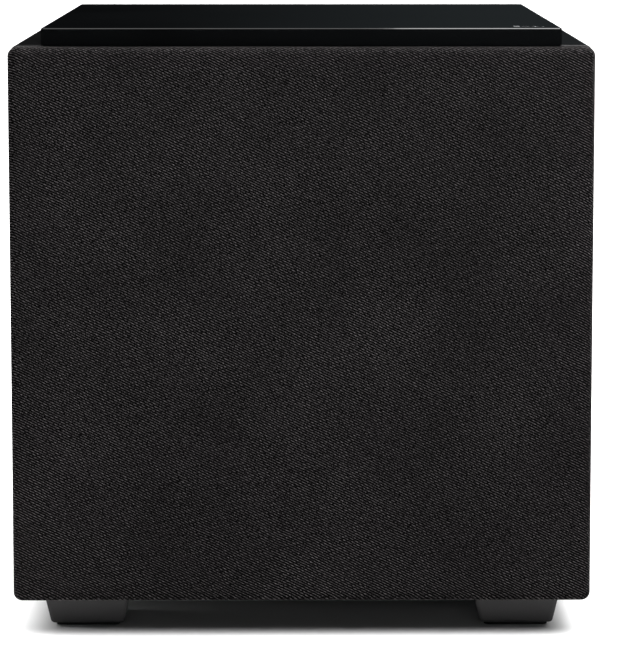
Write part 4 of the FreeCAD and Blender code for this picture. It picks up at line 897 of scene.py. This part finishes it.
def rocker_marks():
    """The line and circle of a power switch, printed a little past the middle of the rocker's faces."""
    share_of_face = 0.55
    pivot = next(j["pos_m"] for j in frame["record"]["behaviour"]["joints"] if j["name"] == "power_rock")
    centre = middle("power_rocker")
    points = [vertex.co for vertex in NODES["power_rocker"].data.vertices]
    hub = min((co for co in points if co.y > PLATE_Y), key=lambda co: abs(co.z - pivot[2]))
    bm = bmesh.new()
    for sign, loops in ((1, line_sign()), (-1, circle_sign())):
        tip = max((co for co in points if sign * (co.z - centre.z) > 0), key=lambda co: co.y)
        along = (tip - hub) * Vector((0, 1, 1))
        up = along.normalized()
        out = along.cross(Vector((sign, 0, 0))).normalized()
        out = out if out.y > 0 else -out
        spot = Vector((centre.x, hub.y, hub.z)) + along * share_of_face
        for loop in loops:
            lower = [bm.verts.new(spot + Vector((u, 0, 0)) + up * v) for u, v in loop]
            upper = [bm.verts.new(vertex.co + out * INK) for vertex in lower]
            bm.faces.new(upper)
            bm.faces.new(lower[::-1])
            for index in range(len(loop)):
                after = (index + 1) % len(loop)
                bm.faces.new((lower[index], lower[after], upper[after], upper[index]))
    marks = finish_mesh("power_rocker_marks", bm, PRINT, weld=False)
    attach(marks, "power_control")


front_cloth()
side_cloth(-1, "left")
side_cloth(1, "right")
woofer_roll()
radiator_roll(-1, "left")
radiator_roll(1, "right")
spider()
dial_marks()
dial_numbers()
knob_pointers()
rocker_marks()

# ---------------------------------------------------------------- studio

FLOOR_RINGS = (0.5, 1.5, 5.0, 12.0, 26.0)
WALL_HIGH = 12.0
STAGE_SEGMENTS = 64
DIM_SIDE = (0.0032, 0.0035, 0.0038, 1)
BRIGHT_SIDE = (0.0175, 0.021, 0.0225, 1)
SKY = (0.3, 0.3, 0.3, 1)
CAMERA_PLACE = (0, -2.1446, 0.4735)
CAMERA_DOWN_DEG = 6.992
CAMERA_TURN_DEG = -0.333
LENS_MM = 173.86


def stage_mesh(name, circles, filled, look):
    """A sheet through circles of (radius, height) round the object, closed inside the first if filled."""
    bm = bmesh.new()
    angles = [math.tau * number / STAGE_SEGMENTS for number in range(STAGE_SEGMENTS)]
    rings = [[bm.verts.new((*on_circle(radius, a), height)) for a in angles] for radius, height in circles]
    bridge(bm, rings)
    if filled:
        bm.faces.new(rings[0])
    bmesh.ops.recalc_face_normals(bm, faces=bm.faces)
    mesh = bpy.data.meshes.new(name)
    bm.to_mesh(mesh)
    bm.free()
    mesh.materials.append(look.material)
    thing = link(bpy.data.objects.new(name, mesh))
    return thing


def floor():
    """The pale floor, which doesn't show in the gloss."""
    look = Look("pale_floor", Roughness=0.9, Specular_IOR_Level=0.1)
    look.paint(look.mix(look.blotches(400, 2.0), (0.84, 0.84, 0.84), (0.86, 0.86, 0.86)))
    thing = stage_mesh("studio_floor", [(radius, 0) for radius in FLOOR_RINGS], True, look)
    thing.visible_glossy = False


def backdrop():
    """A pale wall far round the floor, which only the camera sees."""
    look = Look("pale_wall", Roughness=1.0, Specular_IOR_Level=0.0, Emission_Strength=1.0)
    look.shader.inputs["Emission Color"].default_value = (1, 1, 1, 1)
    thing = stage_mesh("studio_wall", [(FLOOR_RINGS[-1], z) for z in (0.0, WALL_HIGH)], False, look)
    for ray in ("diffuse", "glossy", "transmission", "shadow", "volume_scatter"):
        setattr(thing, "visible_" + ray, False)


def soft_box(name, place, aim, size, watts, in_gloss=True):
    """A rectangular lamp, which shows as a reflection only if in_gloss."""
    light = bpy.data.lights.new(name, "AREA")
    light.shape = "RECTANGLE"
    light.size, light.size_y = size
    light.energy = watts
    thing = link(bpy.data.objects.new(name, light))
    thing.location = place
    thing.rotation_euler = (Vector(aim) - Vector(place)).to_track_quat("-Z", "Y").to_euler()
    thing.visible_glossy = in_gloss


def overhead():
    """One very wide soft source straight above, which gives the pale floor and the shadow under the box."""
    light = bpy.data.lights.new("overhead", "SUN")
    light.energy = 6.5
    light.angle = math.radians(96)
    thing = link(bpy.data.objects.new("overhead", light))
    thing.visible_glossy = False


def world():
    """Dim surroundings that brighten a little towards +X and upwards."""
    made = bpy.data.worlds.new("studio_world")
    bpy.context.scene.world = made
    made.use_nodes = True
    tree = made.node_tree
    parts = tree.nodes.new("ShaderNodeSeparateXYZ")
    tree.links.new(tree.nodes.new("ShaderNodeTexCoord").outputs["Generated"], parts.inputs[0])

    def rise(output, start, end):
        made_node = tree.nodes.new("ShaderNodeMapRange")
        made_node.interpolation_type = "SMOOTHSTEP"
        tree.links.new(parts.outputs[output], made_node.inputs[0])
        for index, value in enumerate((start, end, 0.0, 1.0), start=1):
            made_node.inputs[index].default_value = value
        return made_node.outputs[0]

    def mixer(factor, second):
        made_node = tree.nodes.new("ShaderNodeMix")
        made_node.data_type = "RGBA"
        tree.links.new(factor, made_node.inputs[0])
        made_node.inputs[7].default_value = second
        return made_node

    low = mixer(rise("X", -0.075, 0.085), BRIGHT_SIDE)
    low.inputs[6].default_value = DIM_SIDE
    full = mixer(rise("Z", 0.3, 0.9), SKY)
    tree.links.new(low.outputs[2], full.inputs[6])
    tree.links.new(full.outputs[2], tree.nodes["Background"].inputs["Color"])


def camera():
    """A long lens a little above the object, as far off as its perspective asks."""
    lens = bpy.data.cameras.new("camera")
    lens.sensor_width = 36
    lens.lens = LENS_MM
    lens.shift_y = -0.1
    lens.clip_end = 100
    thing = link(bpy.data.objects.new("camera", lens))
    thing.location = CAMERA_PLACE
    thing.rotation_euler = (math.radians(90 - CAMERA_DOWN_DEG), 0, math.radians(CAMERA_TURN_DEG))
    bpy.context.scene.camera = thing


floor()
backdrop()
overhead()
world()
# each lamp's place, what it is turned to, its size and its power
soft_box("right_overhead", (0.52, -0.2, 1.4), (0.2, -0.2, 0.37), (0.45, 0.9), 7)
soft_box("overhead_strip", (-0.2, -0.2, 1.6), (-0.21, -0.2, 0.37), (0.45, 2.2), 3.6)
soft_box("right_front", (0.62, -0.62, 0.95), (0.15, -0.2, 0.35), (0.4, 0.4), 5)
soft_box("front_low", (0.0, -3.3, 0.75), (0.0, -0.2, 0.1), (2.6, 0.6), 6, in_gloss=False)
soft_box("left_strip", (-1.5, 0.1, 0.55), (-0.18, -0.1, 0.2), (0.25, 1.2), 8, in_gloss=False)
soft_box("rear_left", (-1.3, 1.9, 1.25), (0, 0.1, 0.2), (1.3, 1.0), 26, in_gloss=False)
soft_box("rear_right", (1.5, 1.7, 1.25), (0, 0.1, 0.2), (1.3, 1.0), 26, in_gloss=False)
camera()
bpy.context.scene.view_settings.view_transform = "Standard"
